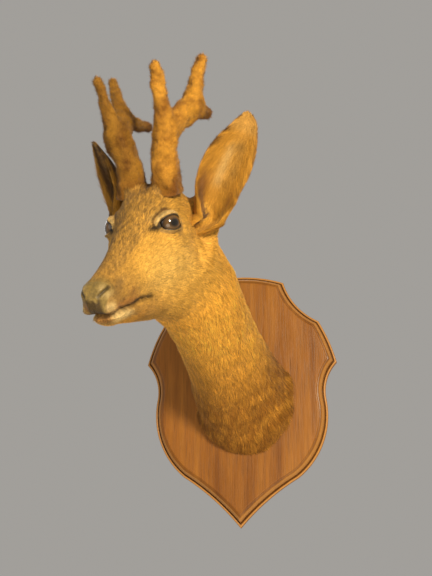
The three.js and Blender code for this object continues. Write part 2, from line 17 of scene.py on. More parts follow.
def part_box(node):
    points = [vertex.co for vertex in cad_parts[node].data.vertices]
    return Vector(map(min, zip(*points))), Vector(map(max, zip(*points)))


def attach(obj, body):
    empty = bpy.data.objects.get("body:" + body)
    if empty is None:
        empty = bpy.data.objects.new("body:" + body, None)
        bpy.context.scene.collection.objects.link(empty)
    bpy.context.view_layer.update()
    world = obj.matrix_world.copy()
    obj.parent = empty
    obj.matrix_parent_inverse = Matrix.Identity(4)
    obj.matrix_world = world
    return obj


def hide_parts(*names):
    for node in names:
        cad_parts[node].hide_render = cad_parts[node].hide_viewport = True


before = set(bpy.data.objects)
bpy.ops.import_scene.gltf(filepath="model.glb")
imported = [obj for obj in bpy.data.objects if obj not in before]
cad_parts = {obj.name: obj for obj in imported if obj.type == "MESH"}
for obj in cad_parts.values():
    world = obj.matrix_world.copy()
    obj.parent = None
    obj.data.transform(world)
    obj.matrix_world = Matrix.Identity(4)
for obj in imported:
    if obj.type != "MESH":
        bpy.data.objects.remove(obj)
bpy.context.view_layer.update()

bl_info = {
    "name": "Roe deer head mount",
    "version": (1, 0, 0),
    "blender": (4, 5, 0),
    "location": "View3D > Sidebar > Head mount",
    "description": "Builds a roe buck's head mount around its packed frame",
    "category": "Mesh",
}

MM = 0.001
BOARD_LOW, BOARD_HIGH = (np.array(corner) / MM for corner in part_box("board"))
BOARD_THICK = -BOARD_LOW[1]

# ---- shape of the animal, millimetres in the head's frame --------------------------------

HEAD_TURN = (-3.4, 40.2, -105.6)       # degrees about x, y and z
HEAD_PLACE = np.array((-63.0, -324.0, 126.0))
NECK_FOOT = (5.0, 2.0)                 # centre of the neck on the board
NECK_TOP = np.array((-42.0, 5.0, -40.0))
NECK_RIM = (13.0, -23.0, 3.0)
NECK_RIM_SIZE = (71.0, 8.0, 84.0)

SKULL = {                              # from the back of the skull to the nose
    "x": (-100, -90, -70, -50, -30, -10, 10, 30, 50, 70, 88, 104, 114, 121, 126),
    "top": (-15, 14, 34, 44, 46, 43, 36, 28, 20, 13, 8, 4, 1, -3, -9),
    "bottom": (-40, -48, -52, -52, -52, -50, -46, -43, -40, -37, -33, -29, -27, -25, -20),
    "half": (8, 24, 34, 38, 39, 39, 36, 30, 24.5, 20.5, 18.5, 17.5, 16, 11.5, 5),
    "taper": (0, 0, 0.05, 0.05, 0.05, 0.1, 0.28, 0.42, 0.44, 0.38, 0.3, 0.18, 0.1, 0.05, 0),
    "power": 2.3,
}
JAW = {                                # from the angle of the jaw to the chin
    "x": (-58, -44, -30, -12, 10, 32, 52, 72, 90, 102, 112, 117),
    "top": (-30, -20, -15, -15, -15, -18, -20, -22, -24, -26, -27, -28),
    "bottom": (-58, -76, -86, -88, -85, -78, -69, -60, -52, -47, -42, -35),
    "half": (16, 27, 32, 34, 32, 27, 22, 19, 17.5, 15.5, 12, 6),
    "taper": (0,) * 12,
    "power": 2.2,
}
THROAT = {                             # from the skull (0) to the board (1)
    "s": (0, 0.15, 0.3, 0.45, 0.6, 0.75, 0.88, 0.96, 1),
    "deep": (47, 55, 55, 55, 56, 61, 68, 71, 74),
    "wide": (42, 49, 50, 50, 52, 56, 61, 64, 68),
    "nape": (4, 5, 5, 3, 1, 0, 0, 0, 0),
    "left": (6, 10, 10, 8, 5, 2, 0, 0, 0),
}
MOUTH = {
    "x": (50, 57, 71, 82, 91, 105, 114, 120, 126),
    "z": (-43, -40.5, -36.5, -35.5, -33, -30, -28.5, -27.5, -26),
}
CHEEK = ((-10, 22, -42), (38, 20, 40), 14)      # swellings: middle, radii, blend
PEDICLE = ((-38, 20, 44), (15, 14, 14), 10)
EAR_BED = ((-77, 39, -6), (22, 18, 27), 10)
NOSE_WING = ((110.5, 5, -7.5), (11.5, 8.5, 9), 5)
UPPER_LIP = ((113.5, 9.5, -22.5), (9, 7, 6.5), 4)

EYE_PLACE = np.array((-3.5, 29.4, 12.2))
EYE_RADIUS = 13.0
LID_THICK = 2.4
EYE_SLIT = (0.86, -0.49, 0.16)
EYE_LOOK = (0.33, 0.92, 0.2)
LID_CORNERS = {"front": 16.0, "rear": 13.4, "upper": 8.4, "lower": 6.8}
MOUTH_CORNER = ((84, 18, -34.5), (74, 19, -35.5), (66, 20, -38), (56, 21, -41))
NOSTRIL = ((122.8, 8.0, -6.8), (118.6, 10.6, -4.8), (115.0, 12.5, -4.0), (110.7, 13.3, -3.6))

MUZZLE_END = np.array((98.0, 0.0, -21.0))
BEND_TOP = np.array((15.0, 0.0, -12.0))
BEND_RADIUS = 108.0
BEND_ANGLE = math.radians(64)


def unit(v):
    """Vector of length one, row by row."""
    v = np.asarray(v, float)
    return v / np.linalg.norm(v, axis=-1, keepdims=True)


def square(a, b):
    """Part of a that is at right angles to b, of length one."""
    a = np.asarray(a, float)
    return unit(a - np.sum(a * b, -1, keepdims=True) * b)


def turn_matrix(degrees):
    """Turn about x, then y, then z."""
    x, y, z = (math.radians(angle) for angle in degrees)
    return np.array(Matrix.Rotation(z, 3, "Z") @ Matrix.Rotation(y, 3, "Y") @ Matrix.Rotation(x, 3, "X"))


HEAD = turn_matrix(HEAD_TURN)


def to_world(p):
    """Head's frame to the part's frame, still in millimetres."""
    return p @ HEAD.T + HEAD_PLACE


def to_head(p):
    """Part's frame to the head's frame."""
    return (np.asarray(p, float) - HEAD_PLACE) @ HEAD


def folded(p):
    """The same points with those of the right half brought over to the left."""
    return np.stack((p[..., 0], np.abs(p[..., 1]), p[..., 2]), -1)


def mirrored(v, side):
    """The same point or way on the left (1) or the right (-1) of the head."""
    return np.asarray(v, float) * (1, side, 1)


SLIT_WAY = unit(EYE_SLIT)
LOOK_WAY = square(EYE_LOOK, SLIT_WAY)
LIFT_WAY = -np.cross(LOOK_WAY, SLIT_WAY)


def curve(x, xs, vs):
    """Smooth curve through stations: a cubic on each step, with the mean slope of its two sides."""
    xs = np.asarray(xs, float)
    vs = np.asarray(vs, float)
    step = np.diff(xs)
    rise = np.diff(vs) / step
    slope = np.empty_like(vs)
    slope[0], slope[-1] = rise[0], rise[-1]
    slope[1:-1] = (rise[:-1] * step[1:] + rise[1:] * step[:-1]) / (step[:-1] + step[1:])
    x = np.clip(x, xs[0], xs[-1])
    i = np.clip(np.searchsorted(xs, x) - 1, 0, len(xs) - 2)
    t = (x - xs[i]) / step[i]
    start = (1 + 2 * t) * (1 - t) ** 2 * vs[i] + t * (1 - t) ** 2 * slope[i] * step[i]
    return start + t * t * (3 - 2 * t) * vs[i + 1] + t * t * (t - 1) * slope[i + 1] * step[i]


def blend(a, b, k):
    """Union of two distances, rounded over k."""
    h = np.clip(0.5 + 0.5 * (b - a) / k, 0, 1)
    return b * (1 - h) + a * h - k * h * (1 - h)


def ellipsoid(p, centre, radii):
    """Distance to an ellipsoid, true at its surface."""
    q = np.linalg.norm((p - np.asarray(centre)) / np.asarray(radii), axis=-1)
    return (q - 1) * min(radii)


def loft(p, shape):
    """Distance to a body lofted along x: its sections are super-ellipses, narrower above."""
    x = p[..., 0]
    keys = ("top", "bottom", "half", "taper")
    top, bottom, half, taper = (curve(x, shape["x"], shape[key]) for key in keys)
    tall = (top - bottom) / 2
    up = (p[..., 2] - (top + bottom) / 2) / tall
    across = p[..., 1] / (half * (1 - taper * np.clip(up, -1, 1)))
    power = shape["power"]
    q = (np.abs(across) ** power + np.abs(up) ** power) ** (1 / power)
    distance = (q - 1) * np.minimum(half, tall)
    beyond = np.maximum(np.maximum(x - shape["x"][-1], shape["x"][0] - x), 0)
    return np.where(beyond > 0, np.hypot(np.maximum(distance, 0), beyond), distance)


FOOT = to_head((NECK_FOOT[0], -BOARD_THICK, NECK_FOOT[1]))
RIM = to_head(NECK_RIM)
OFF_BOARD = np.array((0.0, -1.0, 0.0)) @ HEAD
NECK_LENGTH = np.linalg.norm(FOOT - NECK_TOP)
NECK_WAY = unit(FOOT - NECK_TOP)
NAPE_WAY = unit(np.cross((0, -1, 0), NECK_WAY))
LEFT_WAY = np.cross(NAPE_WAY, NECK_WAY)


def along_neck(p):
    """Share of the way from the skull to the board."""
    return (p - NECK_TOP) @ NECK_WAY / NECK_LENGTH


def neck_distance(p):
    """Distance to the neck: elliptical sections whose middles bow to the nape and to the left."""
    s = along_neck(p)
    keys = ("deep", "wide", "nape", "left")
    deep, wide, nape, left = (curve(s, THROAT["s"], THROAT[key]) for key in keys)
    to_nape, to_left = (p - NECK_TOP) @ NAPE_WAY, (p - NECK_TOP) @ LEFT_WAY
    q = np.hypot((to_nape - nape) / deep, (to_left - left) / wide)
    distance = (q - 1) * np.minimum(deep, wide)
    beyond = np.maximum(-s * NECK_LENGTH, 0)
    return np.where(beyond > 0, np.hypot(np.maximum(distance, 0), beyond), distance)


def flesh(p):
    """Distance to the head and neck out to the tips of the coat: negative inside."""
    q = folded(p)
    f = blend(loft(q, SKULL), loft(q, JAW), 8)
    for centre, radii, k in (CHEEK, PEDICLE, EAR_BED, NOSE_WING, UPPER_LIP):
        f = blend(f, ellipsoid(q, centre, radii), k)
    f = blend(f, neck_distance(p), 28)
    f = blend(f, ellipsoid((p - RIM) @ HEAD.T, (0, 0, 0), NECK_RIM_SIZE), 6)
    return blend(f, np.linalg.norm(q - EYE_PLACE, axis=-1) - EYE_RADIUS - LID_THICK, 7)


# ---- eyes and lids -----------------------------------------------------------------------

def lid_place(p):
    """A point's place at its own side's eye: along the slit, up across it, out of the head."""
    q = folded(p) - EYE_PLACE
    return q @ SLIT_WAY, q @ LIFT_WAY, q @ LOOK_WAY


def lid_edge(u, v):
    """Distance to the lids' opening, seen square on: its outline is a pointed oval, and the
    distance is the oval's level less one, over the level's own slope."""
    wide = np.where(u > 0, LID_CORNERS["front"], LID_CORNERS["rear"])
    tall = np.where(v > 0, LID_CORNERS["upper"], LID_CORNERS["lower"])
    a = u / wide
    b = np.abs(v) / tall
    power = 1 / 1.3
    level = np.maximum(np.sqrt(a * a + b ** (2 * power)), 1e-3)
    slope = np.hypot(a / wide, power * b ** (2 * power - 1) / tall) / level
    return (level - 1) / np.maximum(slope, 0.04)


def tear_spot(u, v):
    """Bell-shaped spot at the front corner of the lids, where the tear duct opens."""
    return near(u, 17.5, 3.2) * near(v, -1.0, 1.5)


def near(value, middle, width):
    """Bell curve: one at the middle, falling off over the width."""
    return np.exp(-((value - middle) / width) ** 2)


def rise(value, start, end):
    """Smooth step from nought at the start to one at the end."""
    t = np.clip((value - start) / (end - start), 0, 1)
    return t * t * (3 - 2 * t)


def ripple(p, size, seed):
    """Soft noise of about one either way: a sum of sine waves in random directions."""
    rng = np.random.default_rng(seed)
    total = 0
    for _ in range(7):
        way = unit(rng.normal(size=3)) * (2 * math.pi / size) * rng.uniform(0.6, 1.5)
        total = total + np.sin(p @ way + rng.uniform(0, 2 * math.pi))
    return total / 2.6


FOLDS = (                              # soft creases: points, depth and width
    (((-38, 47, -58), (-50, 44, -74), (-58, 40, -90)), 2.0, 4.5),
    (((-7, 50, -52), (-12, 53, -66), (-18, 54, -84)), 1.5, 3.5),
    (((-40, 40, 18), (-52, 42, 2), (-56, 46, -16)), 1.0, 4),
)


def stroke(p, points):
    """Distance to a line of points, at the animal's left and right alike."""
    q = folded(p)
    points = np.asarray(points, float)
    best = np.inf
    for start, end in zip(points[:-1], points[1:]):
        way = end - start
        t = np.clip((q - start) @ way / (way @ way), 0, 1)
        best = np.minimum(best, np.linalg.norm(q - start - t[..., None] * way, axis=-1))
    return best


def mouth_line(x):
    """Height of the mouth."""
    return curve(x, MOUTH["x"], MOUTH["z"])


def coat_depth(p):
    """How far the skin lies under the tips of the coat: thin on the muzzle, deep on the neck."""
    behind = rise(-p[..., 0], -60, 60)
    return 0.7 + 1.3 * behind + 2.4 * rise(along_neck(p), 0.1, 0.45) * behind


def bare_nose(p):
    """One on the naked skin of the nose, nought on the coat."""
    x, z = p[..., 0], p[..., 2]
    line = curve(z, (-26, -20, -14, -8, -2, 4), (122, 121.5, 118.5, 114.5, 110.5, 110))
    return rise(x - line, -1.2, 1.2) * rise(z, -27, -24)


def skin_distance(p):
    """Distance to the skin: the flesh less the coat's depth, with its creases let in as grooves
    whose depth falls off from their lines as a bell curve."""
    x, y, z = p[..., 0], p[..., 1], p[..., 2]
    f = flesh(p) + coat_depth(p)
    f = f + 2.6 * near(z, mouth_line(x), 1.4) * rise(x, 52, 62)
    f = f - 0.8 * near(z, mouth_line(x) + 3.6, 3) * rise(x, 70, 90)
    f = f - 0.7 * near(z, mouth_line(x) - 4.5, 3) * rise(x, 70, 90)
    slit = stroke(p, NOSTRIL)
    f = f + 1.7 * near(slit, 0, 1.1) - 0.7 * near(slit, 3.2, 1.5)
    f = f + 1.4 * near(y, 0, 0.9) * rise(x, 112, 118) * rise(-z, 10, 14)
    u, v, w = lid_place(p)
    edge = lid_edge(u, v)
    close = rise(w, 0, 5)
    upper = rise(v, -1, 3)
    f = f + close * (1.6 * near(edge, 5.6, 1.2) * upper - 0.7 * near(edge, 2.6, 1.8) * upper)
    f = f + close * (0.6 * near(edge, 4.2, 1) - 0.4 * near(edge, 2.2, 1.2)) * (1 - upper)
    f = f + 1.5 * close * tear_spot(u, v)
    for points, deep, wide in FOLDS:
        f = f + deep * near(stroke(p, points), 0, wide)
    f = f + 7 * spot(p, (-64, 53, 8), (12, 11, 17))
    hide = rise(-x, -60, 0)
    return f + hide * (0.5 * ripple(p, 34, 4) + 0.25 * ripple(p, 13, 5))


# ---- sheets: surfaces of two parameters on a grid ----------------------------------------

def normals_of(points):
    """Unit normals of a grid of closed rings, outwards: the cross product of its two slopes."""
    around = np.roll(points, -1, 1) - np.roll(points, 1, 1)
    normal = np.cross(around, np.gradient(points, axis=0))
    normal = normal / np.maximum(np.linalg.norm(normal, axis=-1, keepdims=True), 1e-9)
    outward = points - points.mean(1, keepdims=True)
    return normal if (normal * outward).sum(-1).mean() > 0 else -normal


def grid_faces(rows, columns, start=0):
    """Quads between neighbouring rows; the last column joins the first."""
    row, column = np.meshgrid(np.arange(rows - 1), np.arange(columns), indexing="ij")
    after = (column + 1) % columns
    here, below = row * columns, (row + 1) * columns
    corners = (here + column, here + after, below + after, below + column)
    return start + np.stack(corners, -1).reshape(-1, 4)


def grid_uv(rows, columns, box):
    """Unwrap of those quads: rows and columns spread evenly over a box of the map."""
    row, column = np.meshgrid(np.arange(rows - 1), np.arange(columns), indexing="ij")
    low_u, low_v, high_u, high_v = box
    corners = []
    for down, across in ((0, 0), (0, 1), (1, 1), (1, 0)):
        u = low_u + (high_u - low_u) * (column + across) / columns
        v = low_v + (high_v - low_v) * (row + down) / (rows - 1)
        corners.append(np.stack((u, v), -1))
    return np.stack(corners, 2).reshape(-1, 2)


def cap_uv(columns, box):
    """Unwrap of the pole triangles at both ends of a grid: slivers along the box's two edges."""
    low_u, low_v, high_u, high_v = box
    u = low_u + (high_u - low_u) * np.arange(columns) / columns
    step = np.array(((high_u - low_u) / columns, 0))
    slivers = []
    for v in (low_v, high_v):
        here = np.stack((u, np.full(columns, v)), -1)
        pair = (here + step, here) if v == low_v else (here, here + step)
        slivers.append(np.stack((*pair, here + step / 2), 1).reshape(-1, 2))
    return np.concatenate(slivers)


def pole_faces(ring_start, columns, pole, flip):
    """Triangles from a ring to its pole."""
    k = np.arange(columns)
    after = (k + 1) % columns
    a, b = (after, k) if flip else (k, after)
    return np.stack((ring_start + a, ring_start + b, np.full(columns, pole)), -1)


def closed_grid(grid, start=0):
    """A grid of closed rings shut by a pole at each end: its points, quads and pole triangles."""
    rows, columns = grid.shape[:2]
    poles = start + rows * columns
    points = np.concatenate((grid.reshape(-1, 3), [grid[0].mean(0), grid[-1].mean(0)]))
    caps = np.concatenate((
        pole_faces(start, columns, poles, True),
        pole_faces(poles - columns, columns, poles + 1, False),
    ))
    return points, grid_faces(rows, columns, start), caps


def write_mesh(name, points, faces, material, uv=None, colours=None, masks=None):
    """Mesh object from arrays in millimetres of the part's frame. faces is a list of arrays, one
    for each number of corners; uv has a row for each corner, colours and masks one for each point."""
    mesh = bpy.data.meshes.new(name)
    corners = np.concatenate([part.ravel() for part in faces])
    totals = np.concatenate([np.full(len(part), part.shape[1]) for part in faces])
    starts = np.concatenate(([0], np.cumsum(totals)[:-1]))
    triangles = points[corners[starts]], points[corners[starts + 1]], points[corners[starts + 2]]
    volume = np.einsum("ij,ij->i", triangles[0], np.cross(triangles[1], triangles[2])).sum()
    order = np.arange(len(corners))
    if volume < 0:
        place = order - np.repeat(starts, totals)
        order = np.repeat(starts + totals - 1, totals) - place
    mesh.vertices.add(len(points))
    mesh.vertices.foreach_set("co", (points * MM).astype(np.float32).ravel())
    mesh.loops.add(len(corners))
    mesh.loops.foreach_set("vertex_index", corners[order].astype(np.int32))
    mesh.polygons.add(len(totals))
    mesh.polygons.foreach_set("loop_start", starts.astype(np.int32))
    mesh.polygons.foreach_set("loop_total", totals.astype(np.int32))
    mesh.polygons.foreach_set("use_smooth", np.ones(len(totals), bool))
    mesh.update(calc_edges=True)
    if uv is not None:
        layer = mesh.uv_layers.new(name="OFBake")
        layer.data.foreach_set("uv", uv[order].astype(np.float32).ravel())
    if colours is not None:
        layer = mesh.color_attributes.new("Coat", "FLOAT_COLOR", "POINT")
        opaque = np.concatenate((colours, np.ones((len(colours), 1))), -1)
        layer.data.foreach_set("color", opaque.astype(np.float32).ravel())
    for key, values in (masks or {}).items():
        layer = mesh.attributes.new(key, "FLOAT", "POINT")
        layer.data.foreach_set("value", values.astype(np.float32).ravel())
    piece = bpy.data.objects.new(name, mesh)
    bpy.context.scene.collection.objects.link(piece)
    mesh.materials.append(material)
    return piece


def carried(path, sides, radii, squash=1.0, out=None):
    """Closed tube: a circle carried round a closed path, its radius given at each point. It is
    flatter across the second way of each section by the squash."""
    forward = unit(np.roll(path, -1, 0) - np.roll(path, 1, 0))
    second = square(out, forward)
    first = np.cross(forward, second)
    angle = 2 * math.pi * np.arange(sides) / sides
    ring = (first[:, None] * np.cos(angle)[:, None] + squash * second[:, None] * np.sin(angle)[:, None])
    return path[:, None] + ring * np.asarray(radii)[:, None, None]


# ---- the skin as a grid ------------------------------------------------------------------

RINGS = {"cap": 56, "muzzle": 60, "eyes": 100, "poll": 60, "neck": 66}
SEGMENTS = 250
EYE_BEND = 0.36                        # radians of the bend that the eyes take up
EYE_ANGLE = 0.88                       # of the eyes round the spine, from the top
EYE_SPREAD = 0.33
EYE_CROWD = 2.6                        # how much closer the grid lies at the eyes
SKIN_MAP = (0.0, 0.0, 1.0, 0.8)        # the skin's box in the unwrap


def spine():
    """Frames along a line through the muzzle, round a bend and down the neck: where each ring
    starts, its forward and upward ways, and how far its rays open from the forward way."""
    bend = BEND_TOP - (0, 0, BEND_RADIUS)
    cap = (np.arange(RINGS["cap"]) + 0.5) / RINGS["cap"]
    muzzle = np.arange(RINGS["muzzle"]) / RINGS["muzzle"]
    arc = np.concatenate((
        EYE_BEND * np.arange(RINGS["eyes"]) / RINGS["eyes"],
        EYE_BEND + (BEND_ANGLE - EYE_BEND) * np.arange(RINGS["poll"]) / RINGS["poll"],
    ))
    neck = np.arange(RINGS["neck"] + 1)[:, None] / RINGS["neck"]
    back = unit(MUZZLE_END - BEND_TOP)
    up = np.array((0.0, 0.0, 1.0))

    def on_arc(a):
        return bend + BEND_RADIUS * np.stack((-np.sin(a), 0 * a, np.cos(a)), -1)

    turned = np.array((math.cos(BEND_ANGLE), 0, math.sin(BEND_ANGLE)))
    last = on_arc(np.array(BEND_ANGLE))
    at = np.concatenate((
        np.repeat(MUZZLE_END[None], len(cap), 0),
        MUZZLE_END + (BEND_TOP - MUZZLE_END) * muzzle[:, None],
        on_arc(arc),
        last + (FOOT - last) * neck,
    ))
    forward = np.concatenate((
        np.repeat(back[None], len(cap) + len(muzzle), 0),
        np.stack((np.cos(arc), 0 * arc, np.sin(arc)), -1),
        unit(turned + (OFF_BOARD - turned) * neck),
    ))
    upward = np.concatenate((
        np.repeat(up[None], len(cap) + len(muzzle), 0),
        np.stack((-np.sin(arc), 0 * arc, np.cos(arc)), -1),
        np.repeat(np.array((-math.sin(BEND_ANGLE), 0, math.cos(BEND_ANGLE)))[None], len(neck), 0),
    ))
    opened = np.concatenate((math.pi / 2 * cap, np.full(len(at) - len(cap), math.pi / 2)))
    return at, forward, square(upward, forward), opened


def ring_angles():
    """Angles round the spine from the top, crowded where the eyes are."""
    fine = np.linspace(-math.pi, math.pi, 4001)
    crowd = 1 + EYE_CROWD * (near(fine, EYE_ANGLE, EYE_SPREAD) + near(fine, -EYE_ANGLE, EYE_SPREAD))
    share = np.concatenate(([0], np.cumsum((crowd[1:] + crowd[:-1]) / 2)))
    return np.interp(np.arange(SEGMENTS) / SEGMENTS, share / share[-1], fine)


def halved(inside, low, high, times):
    """Place between low and high where inside turns false, by halving."""
    for _ in range(times):
        middle = (low + high) / 2
        within = inside(middle)
        low = np.where(within, middle, low)
        high = np.where(within, high, middle)
    return (low + high) / 2


def reach(start, way, distance, far=170.0, step=4.0):
    """First point along each ray where the distance turns positive, by steps and then halving."""
    low = np.zeros(way.shape[:-1])
    high = np.full(way.shape[:-1], far)
    found = np.zeros(way.shape[:-1], bool)
    for r in np.arange(step, far, step):
        left = ~found
        if not left.any():
            break
        outside = distance((start + way * r)[left]) > 0
        hit = np.zeros_like(found)
        hit[left] = outside
        high[hit] = r
        low[hit] = r - step
        found |= hit
    r = halved(lambda r: distance(start + way * r[..., None]) < 0, low, high, 14)
    return start + way * r[..., None]


def open_lids(points):
    """Skin pressed in behind the lids' opening, with the grid drawn on to its edge first."""
    u, v, w = lid_place(points)
    here = (w > 0) & (np.hypot(u, v) < 26)
    edge = lid_edge(u, v)
    inside = rise(-edge, -0.1, 0.9) * here
    side = np.sign(points[..., 1])
    look = LOOK_WAY * np.stack((np.ones_like(side), side, np.ones_like(side)), -1)
    return points - look * (3.4 * inside)[..., None]


def skin_grid():
    """Skin as rings round the spine: each point is where its ray leaves the skin."""
    at, forward, up, opened = spine()
    side = np.cross(up, forward)
    angle = ring_angles()[None, :, None]
    out = up[:, None] * np.cos(angle) + side[:, None] * np.sin(angle)
    way = out * np.sin(opened)[:, None, None] + forward[:, None] * np.cos(opened)[:, None, None]
    return open_lids(reach(at[:, None] + 0 * way, way, skin_distance))


# ---- ears --------------------------------------------------------------------------------

# shaded is 1 for the ear whose inside gets painted shade
EARS = {
    "left": {
        "side": 1, "root": (-67, 46, -8), "tip": (-116, 99, 88), "face": (0.75, 0.55, 0.35),
        "shaded": 0,
    },
    "right": {
        "side": -1, "root": (-64, -39, -8), "tip": (-113, -97, 80), "face": (0.45, -0.8, 0.35),
        "shaded": 1,
    },
}
EAR_SHAPE = {
    "s": (0, 0.12, 0.3, 0.5, 0.7, 0.86, 0.96, 1),
    "half": (16, 19, 24, 26.5, 23, 15.5, 9.5, 5.5),
    "curl": (2.6, 2.2, 1.45, 1.1, 0.9, 0.75, 0.6, 0.5),
    "lean": (0, -2, -4, -3, -1, 1, 1, 0),
}
EAR_GRID = (84, 56)
EAR_SUNK = -0.3                        # where the ear starts inside the head
EAR_SKIN = 1.2                         # half the thickness of its gristle and skin


def ear_grid(side, root, tip, face):
    """Leaf curled forward: sections are arcs, walked along the back face and returned along the
    inner one, with their thickness drawn to nothing at both rims. Gives points, s and t."""
    root, tip = np.array(root, float), np.array(tip, float)
    rise_way = unit(tip - root)
    face = square(face, rise_way)
    across = np.cross(rise_way, face) * side
    rows, columns = EAR_GRID
    s = np.linspace(EAR_SUNK, 1, rows)[:, None]
    turn = 2 * math.pi * (np.arange(columns) + 0.5)[None] / columns
    t = -np.cos(turn)
    half, curl, lean = (curve(s, EAR_SHAPE["s"], EAR_SHAPE[key]) for key in ("half", "curl", "lean"))
    half = half * (1 - 0.5 * rise(-s, 0, -EAR_SUNK))
    radius = half / np.sin(np.minimum(curl, math.pi / 2))
    thick = EAR_SKIN * np.sin(turn) * (1 - 0.3 * t * t) * rise(1.02 - s, 0, 0.1)
    angle = curl * t
    sideways = (radius + thick) * np.sin(angle) + lean
    back = radius * 0.75 - (radius + thick) * np.cos(angle)
    way = tip - root
    inward = np.array((0.1, -side, -0.25)) * np.linalg.norm(way)
    middle = root + way * np.where(s < 0, 0.3 * s, s)[..., None]
    middle = middle - inward * (0.8 * np.minimum(s, 0))[..., None]
    points = middle + across * sideways[..., None] + face * back[..., None]
    return points, s + 0 * t, t + 0 * s, np.sin(turn) + 0 * s


# ---- markings ----------------------------------------------------------------------------

def tint(code):
    """Linear colour from an ordinary screen colour such as 0xD69E4E."""
    screen = np.array([(code >> shift) & 255 for shift in (16, 8, 0)]) / 255
    return np.where(screen > 0.04045, ((screen + 0.055) / 1.055) ** 2.4, screen / 12.92)


TAN = tint(0xC6923A)                   # most of the coat
CHEEK_GOLD = tint(0xDAAE5A)
THROAT_GOLD = tint(0xFFB43E)
NECK_GOLD = tint(0xEEA83C)
BROW_BROWN = tint(0x967034)
NECK_BROWN = tint(0x96601C)
CREAM = tint(0xCAAC72)
DARK_BROWN = tint(0x4A2E18)
DUSKY = tint(0x6A5232)
NOSE_OLIVE = tint(0x7A6432)
LIP_BROWN = tint(0x8A5A2C)
NOSE_DARK = tint(0x38280F)
RIM_GREY = tint(0x3E3220)
EAR_GOLD = tint(0xC08830)


def painted(colour, *layers):
    """Colour with others laid over it in turn, each where its mask is."""
    for mask, other in layers:
        colour = colour + (other - colour) * np.clip(mask, 0, 1)[..., None]
    return colour


def spot(p, centre, radii):
    """Bell-shaped spot on both sides of the head."""
    return np.exp(-(((folded(p) - np.array(centre)) / np.array(radii)) ** 2).sum(-1))


